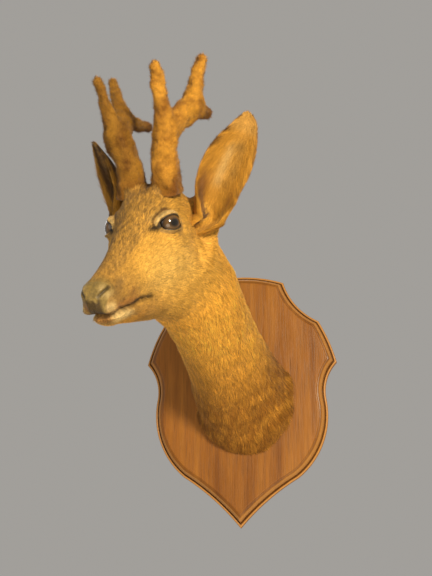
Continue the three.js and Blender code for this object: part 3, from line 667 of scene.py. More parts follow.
def markings(p):
    """Coat colour at points of the head's frame, from a few soft spots, bands and mottles."""
    x, y, z = p[..., 0], np.abs(p[..., 1]), p[..., 2]
    s = along_neck(p)
    colour = np.broadcast_to(TAN, p.shape).copy()
    colour = painted(colour, (0.8 * spot(p, (22, 26, -28), (46, 30, 24)), CHEEK_GOLD))
    low = rise(-(p - NECK_TOP) @ NAPE_WAY, -5, 40)
    colour = painted(colour, (rise(s, 0.0, 0.2), NECK_GOLD))
    throat = rise(s, -0.15, 0.2) * (1 - rise(s, 0.5, 0.85)) * low
    colour = painted(colour, (throat, THROAT_GOLD))
    grizzled = 0.85 + 0.3 * ripple(p, 12, 18)
    colour = painted(
        colour,
        (0.97 * rise(s, 0.5, 0.86) * grizzled, NECK_BROWN),
        (0.3 * rise((p - NECK_TOP) @ NAPE_WAY, 5, 50) * rise(s, 0.3, 0.6), NECK_BROWN),
    )
    # the dusky band down the forehead and the bridge of the nose
    about = np.arctan2(y, np.maximum(z + 18, 1))
    band = (1 - rise(about, 0.42, 0.62)) * rise(z, -14, 0) * rise(x, -62, -42) * (1 - rise(x, 92, 106))
    speckle = 0.22 * ripple(p, 9, 11) + 0.32 * ripple(p, 2.8, 16)
    colour = painted(
        colour,
        (band * (0.75 + 1.3 * speckle), BROW_BROWN),
        (0.8 * band * np.clip(speckle - 0.1, 0, 1), DARK_BROWN),
    )
    crown = rise(-x, 8, 34) * rise(z, 26, 44)
    colour = painted(colour, (crown * (0.45 + 0.4 * ripple(p, 11, 12)), DARK_BROWN))
    # muzzle: painted brown shadow behind the nostril and on the upper lip, brown upper lip, cream and orange
    # lower lip
    lip = mouth_line(x)
    colour = painted(
        colour,
        (0.55 * rise(x, 58, 84), BROW_BROWN),
        (0.4 * spot(p, (60, 10, -52), (40, 20, 14)), LIP_BROWN),
        # painted shadow: brown patches behind the nostril and on the upper lip
        (0.6 * spot(p, (95, 16.4, -7), (9, 6, 4.5)), DUSKY),
        (0.5 * spot(p, (83, 20, -22.6), (7, 6, 5)), LIP_BROWN),
        (0.5 * rise(x, 88, 106) * near(z, -12, 9), DUSKY),
        (0.75 * rise(x, 66, 84) * near(z, lip + 4, 4.5), LIP_BROWN),
        (0.85 * near(z, lip - 6.5, 5) * rise(x, 82, 98) * (1 - rise(x, 112, 118)), CREAM),
        (0.7 * rise(x, 60, 90) * rise(lip - z, 9, 15), THROAT_GOLD),
        (0.7 * rise(x, 112, 117) * rise(lip - z, 2, 6), LIP_BROWN),
        (spot(p, (119, 14, -20.5), (5.5, 4.5, 4.4)), CREAM),
    )
    ragged = 1.3 + 0.4 * ripple(p, 5, 15)
    colour = painted(colour, (0.97 * near(z, lip, ragged) * rise(x, 53, 60), NOSE_DARK))
    corner = near(stroke(p, MOUTH_CORNER), 0, 2.6 + 0.7 * ripple(p, 4, 17))
    colour = painted(colour, (corner, NOSE_DARK))
    # round the eyes
    u, v, w = lid_place(p)
    edge = lid_edge(u, v)
    close = rise(w, -4, 3) * (np.hypot(u, v) < 34)
    colour = painted(
        colour,
        (close * (0.35 + 0.45 * rise(v, -1, 3)) * near(edge, 2.8, 1.9), CREAM),
        (0.45 * close * near(edge, 7.5, 2.5) * rise(v, 0, 5), CHEEK_GOLD),
    )
    # painted shade: a dark line in the crease over the upper lid
    crease = near(edge, 6.2, 1.7) * rise(v, -3, 0) * rise(u, -5, 2)
    colour = painted(
        colour,
        (close * crease, DARK_BROWN),
        # painted shade: an olive smudge under the lower lid
        (0.5 * close * near(edge, 3.5, 2.2) * rise(-v, 0, 3), DUSKY),
    )
    duct = np.minimum(1.6 * near(u, 23, 6) * near(v, -3, 3), 1)
    colour = painted(
        colour,
        (close * duct, NOSE_DARK),
        (close * (1 - rise(edge, 0.6, 1.8)), RIM_GREY),
        (0.95 * close * tear_spot(u, v), RIM_GREY),
    )
    # naked nose: olive above, pale under the nostril, dark in front down to the groove of the lip
    bare = bare_nose(p)
    colour = painted(
        colour,
        (0.7 * rise(x + 0.3 * z, 100, 110) * rise(z, -14, -6), NOSE_OLIVE),
        (bare, NOSE_OLIVE),
        (0.4 * spot(p, (117, 10.5, 0), (5, 4, 3)), CREAM),
        (0.5 * spot(p, (116, 14, -9), (5, 4, 3.5)), CREAM),
    )
    around = rise(-z + 1.5 * ripple(p, 6, 19), 8, 13) * rise(x, 116, 121)
    front = around * (1 - rise(p[..., 1], 6.5, 10)) * rise(p[..., 1], -9, -4)
    colour = painted(
        colour,
        (0.9 * front, NOSE_DARK),
        (0.8 * spot(p, (123, 9, -17.4), (5, 3.5, 5)) * (p[..., 1] < 0), LIP_BROWN),
        (0.97 * near(stroke(p, NOSTRIL), 0, 1.7), NOSE_DARK * 0.3),
    )
    fine = (0.06 + 0.2 * rise(s, 0, 0.2) + 0.16 * band) * ripple(p, 3.4, 24)
    return colour * (1 + 0.07 * ripple(p, 22, 13) + 0.09 * ripple(p, 7, 14) + fine)[..., None]


def ear_markings(p, s, t, inner, shaded):
    """Coat colour on an ear: gold, with a pale ridge and tip inside, a brown patch beside the ridge,
    rusty hair at the front of its root and dark fringes on both rims. The shaded ear gets painted shade: dark
    brown over its inside."""
    colour = np.broadcast_to(EAR_GOLD, p.shape).copy()
    colour = painted(colour, (0.4 * rise(s, 0.2, 0.7) * (inner > 0), BROW_BROWN))
    inside = rise(-inner, -0.1, 0.3)
    ridge = 0.7 * near(t + 0.25 * (s - 0.4), -0.05, 0.2) * rise(s, 0.18, 0.3) * (1 - rise(s, 0.56, 0.72))
    colour = painted(
        colour,
        (0.7 * inside * ridge, CREAM),
        (0.2 * inside * rise(s, 0.72, 0.86), CREAM),
    )
    patch = near(s, 0.64, 0.08) * near(t, 0.22, 0.28)
    colour = painted(colour, (inside * patch * 0.8, BROW_BROWN))
    flank = near(s, 0.4, 0.2) * near(t, 0.4, 0.16)
    colour = painted(colour, (inside * flank * 0.7, BROW_BROWN))
    rust = (1 - rise(s, 0.2, 0.42)) * (1 - rise(t, -0.5, -0.1))
    colour = painted(colour, (inside * rust * 0.85, LIP_BROWN))
    fringe = rise(np.abs(t), 0.9, 0.98) * (0.6 + 0.5 * ripple(p, 14, 23))
    colour = painted(
        colour,
        (0.85 * fringe * rise(s, 0.1, 0.2) * (1 - near(s, 0.42, 0.1)), DARK_BROWN),
        # painted shade: the shaded ear's inside darkened
        (0.9 * shaded * rise(s, 0.08, 0.2) * (1 - rise(np.abs(t), 0.7, 0.9)), DARK_BROWN * 0.6),
    )
    return colour * (1 + 0.08 * ripple(p, 10, 22))[..., None]


# ---- tufts -------------------------------------------------------------------------------

TUFT_PATCH = 0.003                     # a tuft's patch in the unwrap
TUFT_SUNK = 0.15                       # depth of its root under the skin
TUFT_RIDGE = 0.55                      # height of its ridge, as a share of half its width
TUFT_SWAY = 0.15                       # how far tufts lean out of the lie of the coat
TUFT_SHINE = 0.2                       # how far their shading turns from the skin's
TUFT_SHADES = (0.95, 0.95, 0.97, 1.1)  # from the root's corners to the tip
# painted shade: the skin a little darker than the locks, where it shows between them
SKIN_PAINTED_SHADE = 0.98
LOCKS = {"face": 3.3, "body": 1.5, "ears": 1.75, "antlers": 1.3}    # for each square millimetre
TUFT_CORNERS = np.array(((0, 1, 3), (1, 2, 3), (2, 0, 3), (0, 2, 1)))


def scatter(sheet, density, rng):
    """Roots over a grid: each cell gets its area times the density, rounded up or down by chance,
    and each root a place in its cell. Returns what mixes the grid's values there, and each root's
    place in the unwrap."""
    points = sheet["points"]
    rows, columns = points.shape[:2]
    after = np.roll(points, -1, 1)
    first = after[:-1] - points[:-1]
    second = points[1:] - points[:-1]
    area = np.linalg.norm(np.cross(first, second), axis=-1)
    wanted = area * (density[:-1] + density[1:]) / 2
    count = np.floor(wanted + rng.random(wanted.shape)).astype(int)
    cell = np.repeat(np.arange(count.size), count.ravel())
    row, column = cell // columns, cell % columns
    down, across = rng.random(len(cell)), rng.random(len(cell))

    def mixed(values):
        left = values[row, column], values[row + 1, column]
        right = values[row, (column + 1) % columns], values[row + 1, (column + 1) % columns]
        a = across.reshape((-1,) + (1,) * (values.ndim - 2))
        d = down.reshape(a.shape)
        return (left[0] * (1 - a) + right[0] * a) * (1 - d) + (left[1] * (1 - a) + right[1] * a) * d

    low_u, low_v, high_u, high_v = sheet["map"]
    u = low_u + (high_u - low_u) * (column + across) / columns
    v = low_v + (high_v - low_v) * (row + down) / (rows - 1)
    return mixed, np.stack((u, v), -1)


def tuft_arrays(root, flow, normal, length, width, lift, colour, place, rng, toward=0.0):
    """Fine short locks: a straight three-sided spike from its root to its tip, which lies along the
    flow and rises from the skin by the lift. Their shading follows the skin, turned toward a way."""
    count = len(root)
    side = unit(np.cross(flow, normal))
    sway = rng.normal(0, TUFT_SWAY, count)
    tip = root + (flow + side * sway[:, None] + normal * lift[:, None]) * length[:, None]
    sunk = root - TUFT_SUNK * normal
    half = (width / 2)[:, None]
    points = np.stack((sunk - side * half, sunk + side * half, sunk + normal * half * TUFT_RIDGE, tip), 1)
    colours = colour[:, None] * np.array(TUFT_SHADES)[None, :, None]
    corners = np.array(((-0.5, -0.5), (0.5, -0.5), (0, 0), (0, 0.5)))
    uv = place[:, None] + TUFT_PATCH * corners[None]
    shading = normal + toward + rng.normal(0, TUFT_SHINE, (count, 3))
    normals = np.repeat(unit(shading), 4, axis=0)
    return points.reshape(-1, 3), colours.reshape(-1, 3), uv.reshape(-1, 2), normals


def write_tufts(name, points, colours, uv, normals, material):
    """Coat piece from tuft arrays, shaded like the skin below the tufts."""
    start = np.arange(0, len(points), 4)[:, None, None]
    faces = (start + TUFT_CORNERS).reshape(-1, 3)
    colours = np.clip(colours, 0, 1)
    piece = write_mesh(name, to_world(points), [faces], material, uv[faces.ravel()], colours)
    piece.data.normals_split_custom_set_from_vertices(normals @ HEAD.T)
    hold(piece, "velvet" if name.startswith("fuzz") else "coat")


# ---- antlers -----------------------------------------------------------------------------

ANTLERS = {
    "left": {
        "base": (-38, 21, 34), "mid": (-41, 25, 69), "fork": (-49, 29.5, 93), "front": (-53, 33, 160),
        "rear_fork": (-101, 41, 108), "top": (-121, 56, 151), "rear": (-140, 41, 92),
    },
    "right": {
        "base": (-38, -21, 34), "mid": (-41, -17.5, 69), "fork": (-49, -26, 96), "front": (-53, -35, 156),
        "rear_fork": (-83, -34, 107), "top": (-119, -53, 144), "rear": (-152, -40, 83),
    },
}
ANTLER_RADII = {                       # base, middle, fork, rear fork, middle and end of the tines
    "left": (17.5, 15, 12.5, 12.5, 9, 7.2),
    "right": (17.5, 14, 13.8, 11, 7.5, 6),
}
# painted shade: the right antler's velvet is a darker copy of the left one's
ANTLER_PAINTED_SHADE = {"left": 1.0, "right": 0.56}
FUZZ = 1.6                             # depth of the velvet's hair


def limb_line(points, radii, steps):
    """Smooth line through points with a radius at each, in even steps."""
    stations = np.arange(len(points))
    t = np.linspace(0, len(points) - 1, steps)
    points = np.asarray(points, float)
    line = np.stack([curve(t, stations, points[:, axis]) for axis in range(3)], -1)
    return line, curve(t, stations, radii)


def antler_lines(side):
    """The three limbs of an antler: beam and rear tine, front tine, top tine."""
    at = {key: np.array(value, float) for key, value in ANTLERS[side].items()}

    def half(a, b):
        return (at[a] + at[b]) / 2

    base, middle, fork, rear_fork, tine, end = ANTLER_RADII[side]
    return (
        limb_line([at["base"], at["mid"], at["fork"], at["rear_fork"], half("rear_fork", "rear"), at["rear"]],
                  [base, middle, fork, rear_fork, tine, end], 90),
        limb_line([half("mid", "fork"), at["fork"], half("fork", "front"), at["front"]],
                  [fork - 2, fork, tine, end], 60),
        limb_line([half("fork", "rear_fork"), at["rear_fork"], half("rear_fork", "top"), at["top"]],
                  [fork - 3, rear_fork, tine, end], 60),
    )


def antler_distance(p, lines):
    """Distance to an antler: the smooth union of its limbs, each the distance to its line less the
    radius there, roughened by soft knobs."""
    total = None
    for line, radii in lines:
        gap = np.linalg.norm(p[..., None, :] - line, axis=-1) - radii
        nearest = gap.min(-1)
        total = nearest if total is None else blend(total, nearest, 6)
    return total + FUZZ + 0.9 * ripple(p, 15, 31) + 0.45 * ripple(p, 6.5, 32)


def limb_grid(line, radii, lines, columns=40):
    """Tube round one limb whose rays end on the antler's surface, with a rounded end."""
    forward = unit(np.gradient(line, axis=0))
    side = square(np.cross(forward, (0, 1, 0)), forward)
    up = np.cross(side, forward)
    tip = np.radians((12, 24, 36, 48, 60, 72, 83))
    at = np.concatenate((line, np.repeat(line[-1:], len(tip), 0)))
    angle = 2 * math.pi * np.arange(columns) / columns
    out = side[:, None] * np.cos(angle)[:, None] + up[:, None] * np.sin(angle)[:, None]
    last = out[-1] * np.cos(tip)[:, None, None] + forward[-1] * np.sin(tip)[:, None, None]
    way = np.concatenate((out, last))
    limit = np.concatenate((radii, np.repeat(radii[-1:], len(tip)))) * 1.3
    start = at[:, None]
    low, high = np.zeros(way.shape[:-1]), np.repeat(limit[:, None], columns, 1)
    r = halved(lambda r: antler_distance(start + way * r[..., None], lines) < 0, low, high, 12)
    return start + way * r[..., None]


# ---- board -------------------------------------------------------------------------------

BOARD_TOP = BOARD_HIGH[2]
BOARD_CORNER = (61.6, 162.2)
BOARD_SHOULDER = (109.7, 105)
BOARD_SIDE = (BOARD_HIGH[0], 46.9)
BOARD_WAIST = (117.2, -2)
BOARD_FLANK = (77.1, -108)
BOARD_FOOT = (0, BOARD_LOW[2])
RIGHT_SIDE = (
    (BOARD_CORNER, BOARD_SHOULDER, -8), (BOARD_SHOULDER, BOARD_SIDE, 2.2), (BOARD_SIDE, BOARD_WAIST, -6),
    (BOARD_WAIST, BOARD_FLANK, 16), (BOARD_FLANK, BOARD_FOOT, -4),
)
MOULDING = (                           # inset and height: square foot, rounded lip, groove, ovolo
    (0, 0), (0, 4), (0, 8.2), (0.25, 9.4), (0.9, 10.3), (1.7, 10.7), (2.6, 10.6), (3.3, 10.0), (3.8, 9.2),
    (4.2, 9.6), (4.4, 11.2), (4.8, 13.2), (5.5, 15.4), (6.5, 17.5), (7.8, 19.2), (9.4, 20.4), (10.8, 20.9),
    (11.5, 20.9), (11.9, 21.3), (12.5, 22), (13.5, 22),
)
BOARD_SHADE_AND_SHEEN = {                         # painted shade in the groove, and painted highlight with some wear on the edges, at points of the moulding
    "Groove": {7: 0.85, 8: 0.85, 9: 0.85, 10: 0.5, 15: 0.35, 16: 0.35, 17: 0.35},
    "Worn": {3: 0.3, 4: 0.75, 5: 0.75, 6: 0.3, 12: 0.5, 13: 0.5, 14: 0.5},
}
POCKET = (32, 7.5, 112, 3)             # half width, half height, middle and depth of the hanger's bed


def on_stretch(stretch, t):
    """Point and outward normal along a stretch: a circular arc given by its sagitta."""
    start, end, sagitta = (np.array(part, float) for part in stretch)
    size = np.linalg.norm(end - start)
    along = (end - start) / size
    out = np.array((-along[1], along[0]))
    half = 2 * math.atan(2 * sagitta / size)
    radius = size / (2 * math.sin(half))
    angle = half * (2 * np.asarray(t, float)[..., None] - 1)
    point = start + along * (size / 2 + radius * np.sin(angle))
    point = point + out * radius * (np.cos(angle) - math.cos(half))
    return point, along * np.sin(angle) + out * np.cos(angle)


def trimmed(stretch, t, neighbour, neighbour_t, inset):
    """Where a stretch set in by each inset meets the mitre line of its corner, by halving."""
    corner = np.array(stretch[0] if t == 0 else stretch[1], float)
    mitre = on_stretch(stretch, t)[1] + on_stretch(neighbour, neighbour_t)[1]

    def side(q):
        point, normal = on_stretch(stretch, q)
        place = point - normal * inset[:, None] - corner
        return place[..., 0] * mitre[1] - place[..., 1] * mitre[0]

    low = np.full(len(inset), t - 0.3)
    high = np.full(len(inset), t + 0.3)
    rising = side(high) > side(low)
    met = halved(lambda q: (side(q) > 0) != rising, low, high, 40)
    return np.where(inset == 0, float(t), met)


def shield_rings():
    """The moulding carried round the outline: a ring for each of its points."""

    def flip(point):
        return -point[0], point[1]

    crown = BOARD_TOP - BOARD_CORNER[1]
    left_side = [(flip(end), flip(start), sag) for start, end, sag in RIGHT_SIDE][::-1]
    outline = [(flip(BOARD_CORNER), BOARD_CORNER, crown), *RIGHT_SIDE, *left_side]
    inset, height = np.array(MOULDING, float).T
    pieces = []
    for index, stretch in enumerate(outline):
        before, after = outline[index - 1], outline[(index + 1) % len(outline)]
        start = trimmed(stretch, 0, before, 1, inset)
        end = trimmed(stretch, 1, after, 0, inset)
        size = np.linalg.norm(np.subtract(stretch[1], stretch[0]))
        count = max(8, int(size / 4))
        t = start[:, None] + (end - start)[:, None] * np.arange(count) / count
        point, normal = on_stretch(stretch, t)
        pieces.append(point - normal * inset[:, None, None])
    flat = np.concatenate(pieces, 1)
    depth = np.broadcast_to(-height[:, None], flat.shape[:2])
    return np.stack((flat[..., 0], depth, flat[..., 1]), -1)


# ---- materials ---------------------------------------------------------------------------

class Nodes:
    """Short hand for wiring one material."""

    def __init__(self, name):
        self.material = bpy.data.materials.new(name)
        self.material.use_nodes = True
        self.tree = self.material.node_tree
        self.shader = self.tree.nodes["Principled BSDF"]

    def add(self, kind, **settings):
        """Node with its settings: a socket's value by its name, anything else as a property."""
        node = self.tree.nodes.new(kind)
        for key, value in settings.items():
            if key in node.inputs:
                node.inputs[key].default_value = value
            else:
                setattr(node, key, value)
        return node

    def join(self, start, end):
        """Link between two sockets."""
        self.tree.links.new(start, end)

    def shader_values(self, **values):
        """Constants set on the shader's own sockets."""
        for key, value in values.items():
            self.shader.inputs[key.replace("_", " ")].default_value = value

    def coordinates(self, scale=(1, 1, 1)):
        """Object coordinates stretched by a mapping node."""
        place = self.add("ShaderNodeTexCoord")
        mapping = self.add("ShaderNodeMapping")
        mapping.inputs["Scale"].default_value = scale
        self.join(place.outputs["Object"], mapping.inputs["Vector"])
        return mapping.outputs["Vector"]

    def noise(self, vector, scale, detail=4.0, rough=0.55):
        """Noise value."""
        node = self.add("ShaderNodeTexNoise", Scale=scale, Detail=detail, Roughness=rough)
        self.join(vector, node.inputs["Vector"])
        return node.outputs["Fac"]

    def ramp(self, value, *stops):
        """Colour ramp of (place, colour) stops."""
        node = self.add("ShaderNodeValToRGB")
        self.join(value, node.inputs["Fac"])
        elements = node.color_ramp.elements
        while len(elements) < len(stops):
            elements.new(0.5)
        for element, (place, colour) in zip(elements, stops):
            element.position = place
            element.color = (*colour, 1) if len(colour) == 3 else colour
        return node.outputs["Color"]

    def span(self, value, low, high, start=0.0, end=1.0):
        """Value mapped from start..end to low..high."""
        node = self.add("ShaderNodeMapRange")
        for key, number in (("From Min", start), ("From Max", end), ("To Min", low), ("To Max", high)):
            node.inputs[key].default_value = number
        self.join(value, node.inputs["Value"])
        return node.outputs["Result"]

    def mix(self, kind, share, first, second):
        """Colour mix: share, first and second are sockets or constants."""
        node = self.add("ShaderNodeMix", data_type="RGBA", blend_type=kind)
        for socket, value in ((node.inputs[0], share), (node.inputs[6], first), (node.inputs[7], second)):
            if isinstance(value, bpy.types.NodeSocket):
                self.join(value, socket)
            else:
                socket.default_value = value if np.isscalar(value) else (*value[:3], 1)
        return node.outputs[2]

    def attribute(self, name, output="Color"):
        """Attribute of the mesh."""
        node = self.add("ShaderNodeAttribute", attribute_name=name)
        return node.outputs[output]

    def bump(self, height, strength, distance, under=None):
        """Bump from a height, over another bump if one is given."""
        node = self.add("ShaderNodeBump", Strength=strength, Distance=distance)
        self.join(height, node.inputs["Height"])
        if under is not None:
            self.join(under, node.inputs["Normal"])
        return node.outputs["Normal"]

    def finish(self, colour=None, rough=None, normal=None):
        """Wires colour, roughness and normal to the shader."""
        for value, key in ((colour, "Base Color"), (rough, "Roughness"), (normal, "Normal")):
            if isinstance(value, bpy.types.NodeSocket):
                self.join(value, self.shader.inputs[key])
            elif value is not None:
                self.shader.inputs[key].default_value = value
        return self.material


def hair_material(name, hairs=900.0, strength=0.35):
    """Hair: the markings kept in the mesh, with fine light and dark strands of noise."""
    n = Nodes(name)
    place = n.coordinates()
    fine = n.noise(place, hairs, 2.0, 0.6)
    strands = n.span(fine, 0.72, 1.25, 0.3, 0.7)
    colour = n.mix("MULTIPLY", 1.0, n.attribute("Coat"), strands)
    normal = n.bump(fine, strength, 0.0006)
    n.shader_values(Specular_IOR_Level=0.16, Sheen_Weight=0.05, Sheen_Roughness=0.5)
    return n.finish(colour, 0.62, normal)


def skin_material():
    """Skin under the coat: the same markings, leathery and pebbled where the nose is naked."""
    n = Nodes("skin_and_short_coat")
    place = n.coordinates()
    bare = n.attribute("Bare", "Fac")
    fine = n.noise(place, 900.0, 2.0, 0.6)
    colour = n.mix("MULTIPLY", 1.0, n.attribute("Coat"), n.span(fine, 0.75, 1.2, 0.3, 0.7))
    cells = n.add("ShaderNodeTexVoronoi", Scale=900.0)
    n.join(place, cells.inputs["Vector"])
    pebbles = n.span(cells.outputs["Distance"], 1.0, 0.0, 0.0, 0.7)
    height = n.mix("MIX", bare, fine, pebbles)
    n.shader_values(Specular_IOR_Level=0.3)
    return n.finish(colour, n.span(bare, 0.7, 0.4), n.bump(height, 0.5, 0.0005))


def wood_material(settings):
    """Stained hardwood under satin varnish: grain drawn out upwards, dark pores, painted shade in the groove
    and a painted highlight, partly wear, on the moulding's edges.
    """
    n = Nodes("board_wood")
    grain_place = n.coordinates((1, 1, 0.07))
    pore_place = n.coordinates((1, 1, 0.025))
    broad = n.noise(grain_place, 60.0, 6.0, 0.6)
    fine = n.noise(grain_place, 320.0, 5.0, 0.65)
    pores = n.noise(pore_place, 1300.0, 2.0, 0.5)
    base = n.ramp(broad, (0.3, settings.dark), (0.5, settings.mid), (0.72, settings.light))
    colour = n.mix("MULTIPLY", 1.0, base, n.span(fine, 0.86, 1.12, 0.3, 0.7))
    colour = n.mix("MULTIPLY", 0.5, colour, n.span(pores, 0.45, 1.05, 0.3, 0.44))
    # painted shade: the groove of the moulding darkened
    colour = n.mix("MIX", n.attribute("Groove", "Fac"), colour, tuple(np.array(settings.dark[:3]) * 0.35))
    # painted highlight, partly wear: the moulding's edges lightened
    colour = n.mix("MIX", n.attribute("Worn", "Fac"), colour, settings.edge_sheen_and_wear)
    pits = n.span(pores, 0.0, 1.0, 0.3, 0.5)
    normal = n.bump(pits, 0.25, 0.0004, n.bump(fine, 0.08, 0.0006))
    n.shader_values(Coat_Weight=0.1, Coat_Roughness=0.2, Specular_IOR_Level=0.2)
    return n.finish(colour, n.span(broad, 0.34, 0.46), normal)


PUPIL = (0.008, 0.007, 0.005)
PUPIL_EDGE = (0.012, 0.01, 0.008)
EYE_DARK = (0.012, 0.008, 0.006)


def glass_eye_material(settings):
    """Glass eye: dark brown iris round a level pupil, both seen through a clear polished front."""
    n = Nodes("eye_glass")
    level = n.attribute("Iris", "Fac")
    edge = tuple(np.array(settings.iris[:3]) * 0.6)
    stops = ((0.0, PUPIL), (0.3, PUPIL_EDGE), (0.62, settings.iris), (0.8, edge), (0.95, EYE_DARK))
    colour = n.ramp(level, *stops)
    n.shader_values(Coat_Weight=1.0, Coat_Roughness=0.02, Coat_IOR=1.36, Specular_IOR_Level=0.25)
    return n.finish(colour, 0.12)


def rim_material():
    """Dark, slightly greasy skin of the lids' rims."""
    n = Nodes("lid_rim")
    fine = n.noise(n.coordinates(), 700.0, 3.0, 0.6)
    colour = n.ramp(fine, (0.3, tint(0x1C150E)), (0.7, tint(0x44361E)))
    return n.finish(colour, 0.42, n.bump(fine, 0.4, 0.0004))


def velvet_material():
    """Short dense velvet on the antlers: the mesh's own mottle broken by fine noise."""
    n = Nodes("antler_velvet")
    place = n.coordinates()
    fine = n.noise(place, 1000.0, 3.0, 0.7)
    colour = n.mix("MULTIPLY", 1.0, n.attribute("Coat"), n.span(fine, 0.6, 1.35, 0.3, 0.7))
    n.shader_values(Specular_IOR_Level=0.15, Sheen_Weight=0.2, Sheen_Roughness=0.5)
    return n.finish(colour, 0.85, n.bump(fine, 0.7, 0.001))


def steel_material():
    """Zinc-plated steel: fine brushing, dull patches and a few darker specks."""
    n = Nodes("plated_steel")
    brushed = n.noise(n.coordinates((0.03, 1, 1)), 2500.0, 3.0, 0.6)
    patches = n.noise(n.coordinates(), 160.0, 4.0, 0.6)
    colour = n.ramp(patches, (0.3, tint(0x8E8E88)), (0.55, tint(0xB9B9B4)), (0.75, tint(0xC8C4B8)))
    rough = n.span(patches, 0.28, 0.5, 0.3, 0.7)
    n.shader_values(Metallic=1.0)
    return n.finish(colour, rough, n.bump(brushed, 0.15, 0.0002))


def plain_material(name, colour, rough):
    """Even, slightly mottled finish for the stage."""
    n = Nodes(name)
    shade = n.span(n.noise(n.coordinates(), 3.0), 0.97, 1.03)
    return n.finish(n.mix("MULTIPLY", 1.0, colour, shade), rough)


# ---- what a user would change ------------------------------------------------------------

def length_setting(name, description, default):
    """Length in metres."""
    return FloatProperty(name=name, description=description, default=default, min=0.0, unit="LENGTH")


def power_setting(name, description, default):
    """Power in watts."""
    return FloatProperty(name=name, description=description, default=default, min=0.0, unit="POWER")


def colour_setting(name, description, default):
    """Linear colour."""
    return FloatVectorProperty(name=name, description=description, subtype="COLOR", size=3,
                               min=0.0, max=1.0, default=tuple(float(part) for part in default))


class BoardSettings(bpy.types.PropertyGroup):
    """The wooden board."""

    dark: colour_setting("Dark grain", "Darkest streaks of the wood", tint(0x6E4011))
    mid: colour_setting("Wood", "Most of the wood", tint(0x845118))
    light: colour_setting("Light grain", "Lightest streaks of the wood", tint(0x956020))
    # colour of the painted highlight on the moulding's edges, which also stands for rubbed-off stain
    edge_sheen_and_wear: colour_setting("Worn edge", "Edges where the stain has rubbed off", tint(0xB98444))


class EyeSettings(bpy.types.PropertyGroup):
    """The glass eyes."""

    iris: colour_setting("Iris", "Colour of the iris", tint(0x5E4424))
    rim: length_setting("Rim", "Radius of the dark rims of the lids", 0.00055)


class CoatSettings(bpy.types.PropertyGroup):
    """The coat of the head, the neck and the ears."""

    face_hair: length_setting("Face hair", "Length of the shortest locks, on the muzzle", 0.0036)
    neck_hair: length_setting("Neck hair", "Length of the locks on the neck", 0.0135)
    ear_hair: length_setting("Ear hair", "Length of the locks inside the ears", 0.011)
    fullness: FloatProperty(name="Fullness", description="Number of locks, as a share of the usual",
                            default=1.0, min=0.1, max=1.2)
    seed: IntProperty(name="Seed", description="Start of the random draws", default=7, min=0)


class AntlerSettings(bpy.types.PropertyGroup):
    """The antlers in velvet."""

    light: colour_setting("Light velvet", "Lighter hair of the velvet", tint(0xC68C2E))
    dark: colour_setting("Dark velvet", "Darker hair of the velvet", tint(0x7A4A14))
    fuzz: length_setting("Fuzz", "Length of the velvet's hair", 0.0034)


class StageSettings(bpy.types.PropertyGroup):
    """Floor, lights and camera."""

    floor_drop: length_setting("Floor", "Height of the object's origin above the floor", 1.25)
    key: power_setting("Key light", "Power of the main light", 64.0)
    low: power_setting("Low light", "Power of the soft light from below", 12.0)
    fill: power_setting("Fill light", "Power of the soft second light", 7.0)
    world: FloatProperty(name="Surroundings", description="Brightness of the surroundings",
                         default=0.36, min=0.0)


SETTINGS = {
    "mount_board": BoardSettings, "mount_eyes": EyeSettings, "mount_coat": CoatSettings,
    "mount_antlers": AntlerSettings, "mount_stage": StageSettings,
}

# ---- operators ---------------------------------------------------------------------------

def hold(piece, slot, *nodes):
    """Fixes a piece to the one body and hides the nodes it stands for. The slot is not used."""
    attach(piece, "root")
    if nodes:
        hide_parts(*nodes)


class MOUNT_OT_board(bpy.types.Operator):
    """Carve the shield with its moulded edge and the hanger's bed in its back"""

    bl_idname = "mount.board"
    bl_label = "Board"

    def execute(self, context):
        rings = shield_rings()
        columns = rings.shape[1]
        middle = np.array((0, -BOARD_THICK, 0))
        shares = np.array((0.12, 0.3, 0.5, 0.7, 0.88))[:, None, None]
        inner = rings[-1] + (middle - rings[-1]) * shares
        rows = np.concatenate((rings, inner))
        points = rows.reshape(-1, 3)
        pole = len(points)
        quads = grid_faces(len(rows), columns)
        half_wide, half_tall, height, deep = POCKET
        signs = np.array(((-1, -1), (1, -1), (1, 1), (-1, 1)))
        corners = signs * (half_wide, half_tall) + (0, height)
        mouth = np.stack((corners[:, 0], np.zeros(4), corners[:, 1]), -1)
        bed = mouth - (0, deep, 0)
        points = np.concatenate((points, middle[None], mouth, bed))
        first = pole + 1
        back = [[Vector((x, z, 0)) for x, _, z in rings[0]], [Vector((x, z, 0)) for x, z in corners]]
        numbers = np.concatenate((np.arange(columns), first + np.arange(4)))
        back_faces = numbers[np.array(tessellate_polygon(back))]
        flat = points[back_faces]
        turn = np.cross(flat[:, 1] - flat[:, 0], flat[:, 2] - flat[:, 0])[:, 1] < 0
        back_faces[turn] = back_faces[turn][:, ::-1]
        around = np.arange(4)
        after = (around + 1) % 4
        walls = first + np.stack((around, after, 4 + after, 4 + around), -1)
        floor = first + 4 + np.array([[0, 3, 2, 1]])
        front = pole_faces((len(rows) - 1) * columns, columns, pole, False)
        faces = [np.concatenate((quads, walls, floor)), np.concatenate((front, back_faces))]
        row_at = np.concatenate((np.repeat(np.arange(len(rows)), columns), np.full(9, len(rows))))
        masks = {}
        for key, shares in BOARD_SHADE_AND_SHEEN.items():
            by_row = np.zeros(len(rows) + 1)
            by_row[list(shares)] = list(shares.values())
            masks[key] = by_row[row_at]
        material = wood_material(context.scene.mount_board)
        piece = write_mesh("board_carved", points, faces, material, masks=masks)
        hold(piece, "board_wood", "board")
        return {"FINISHED"}


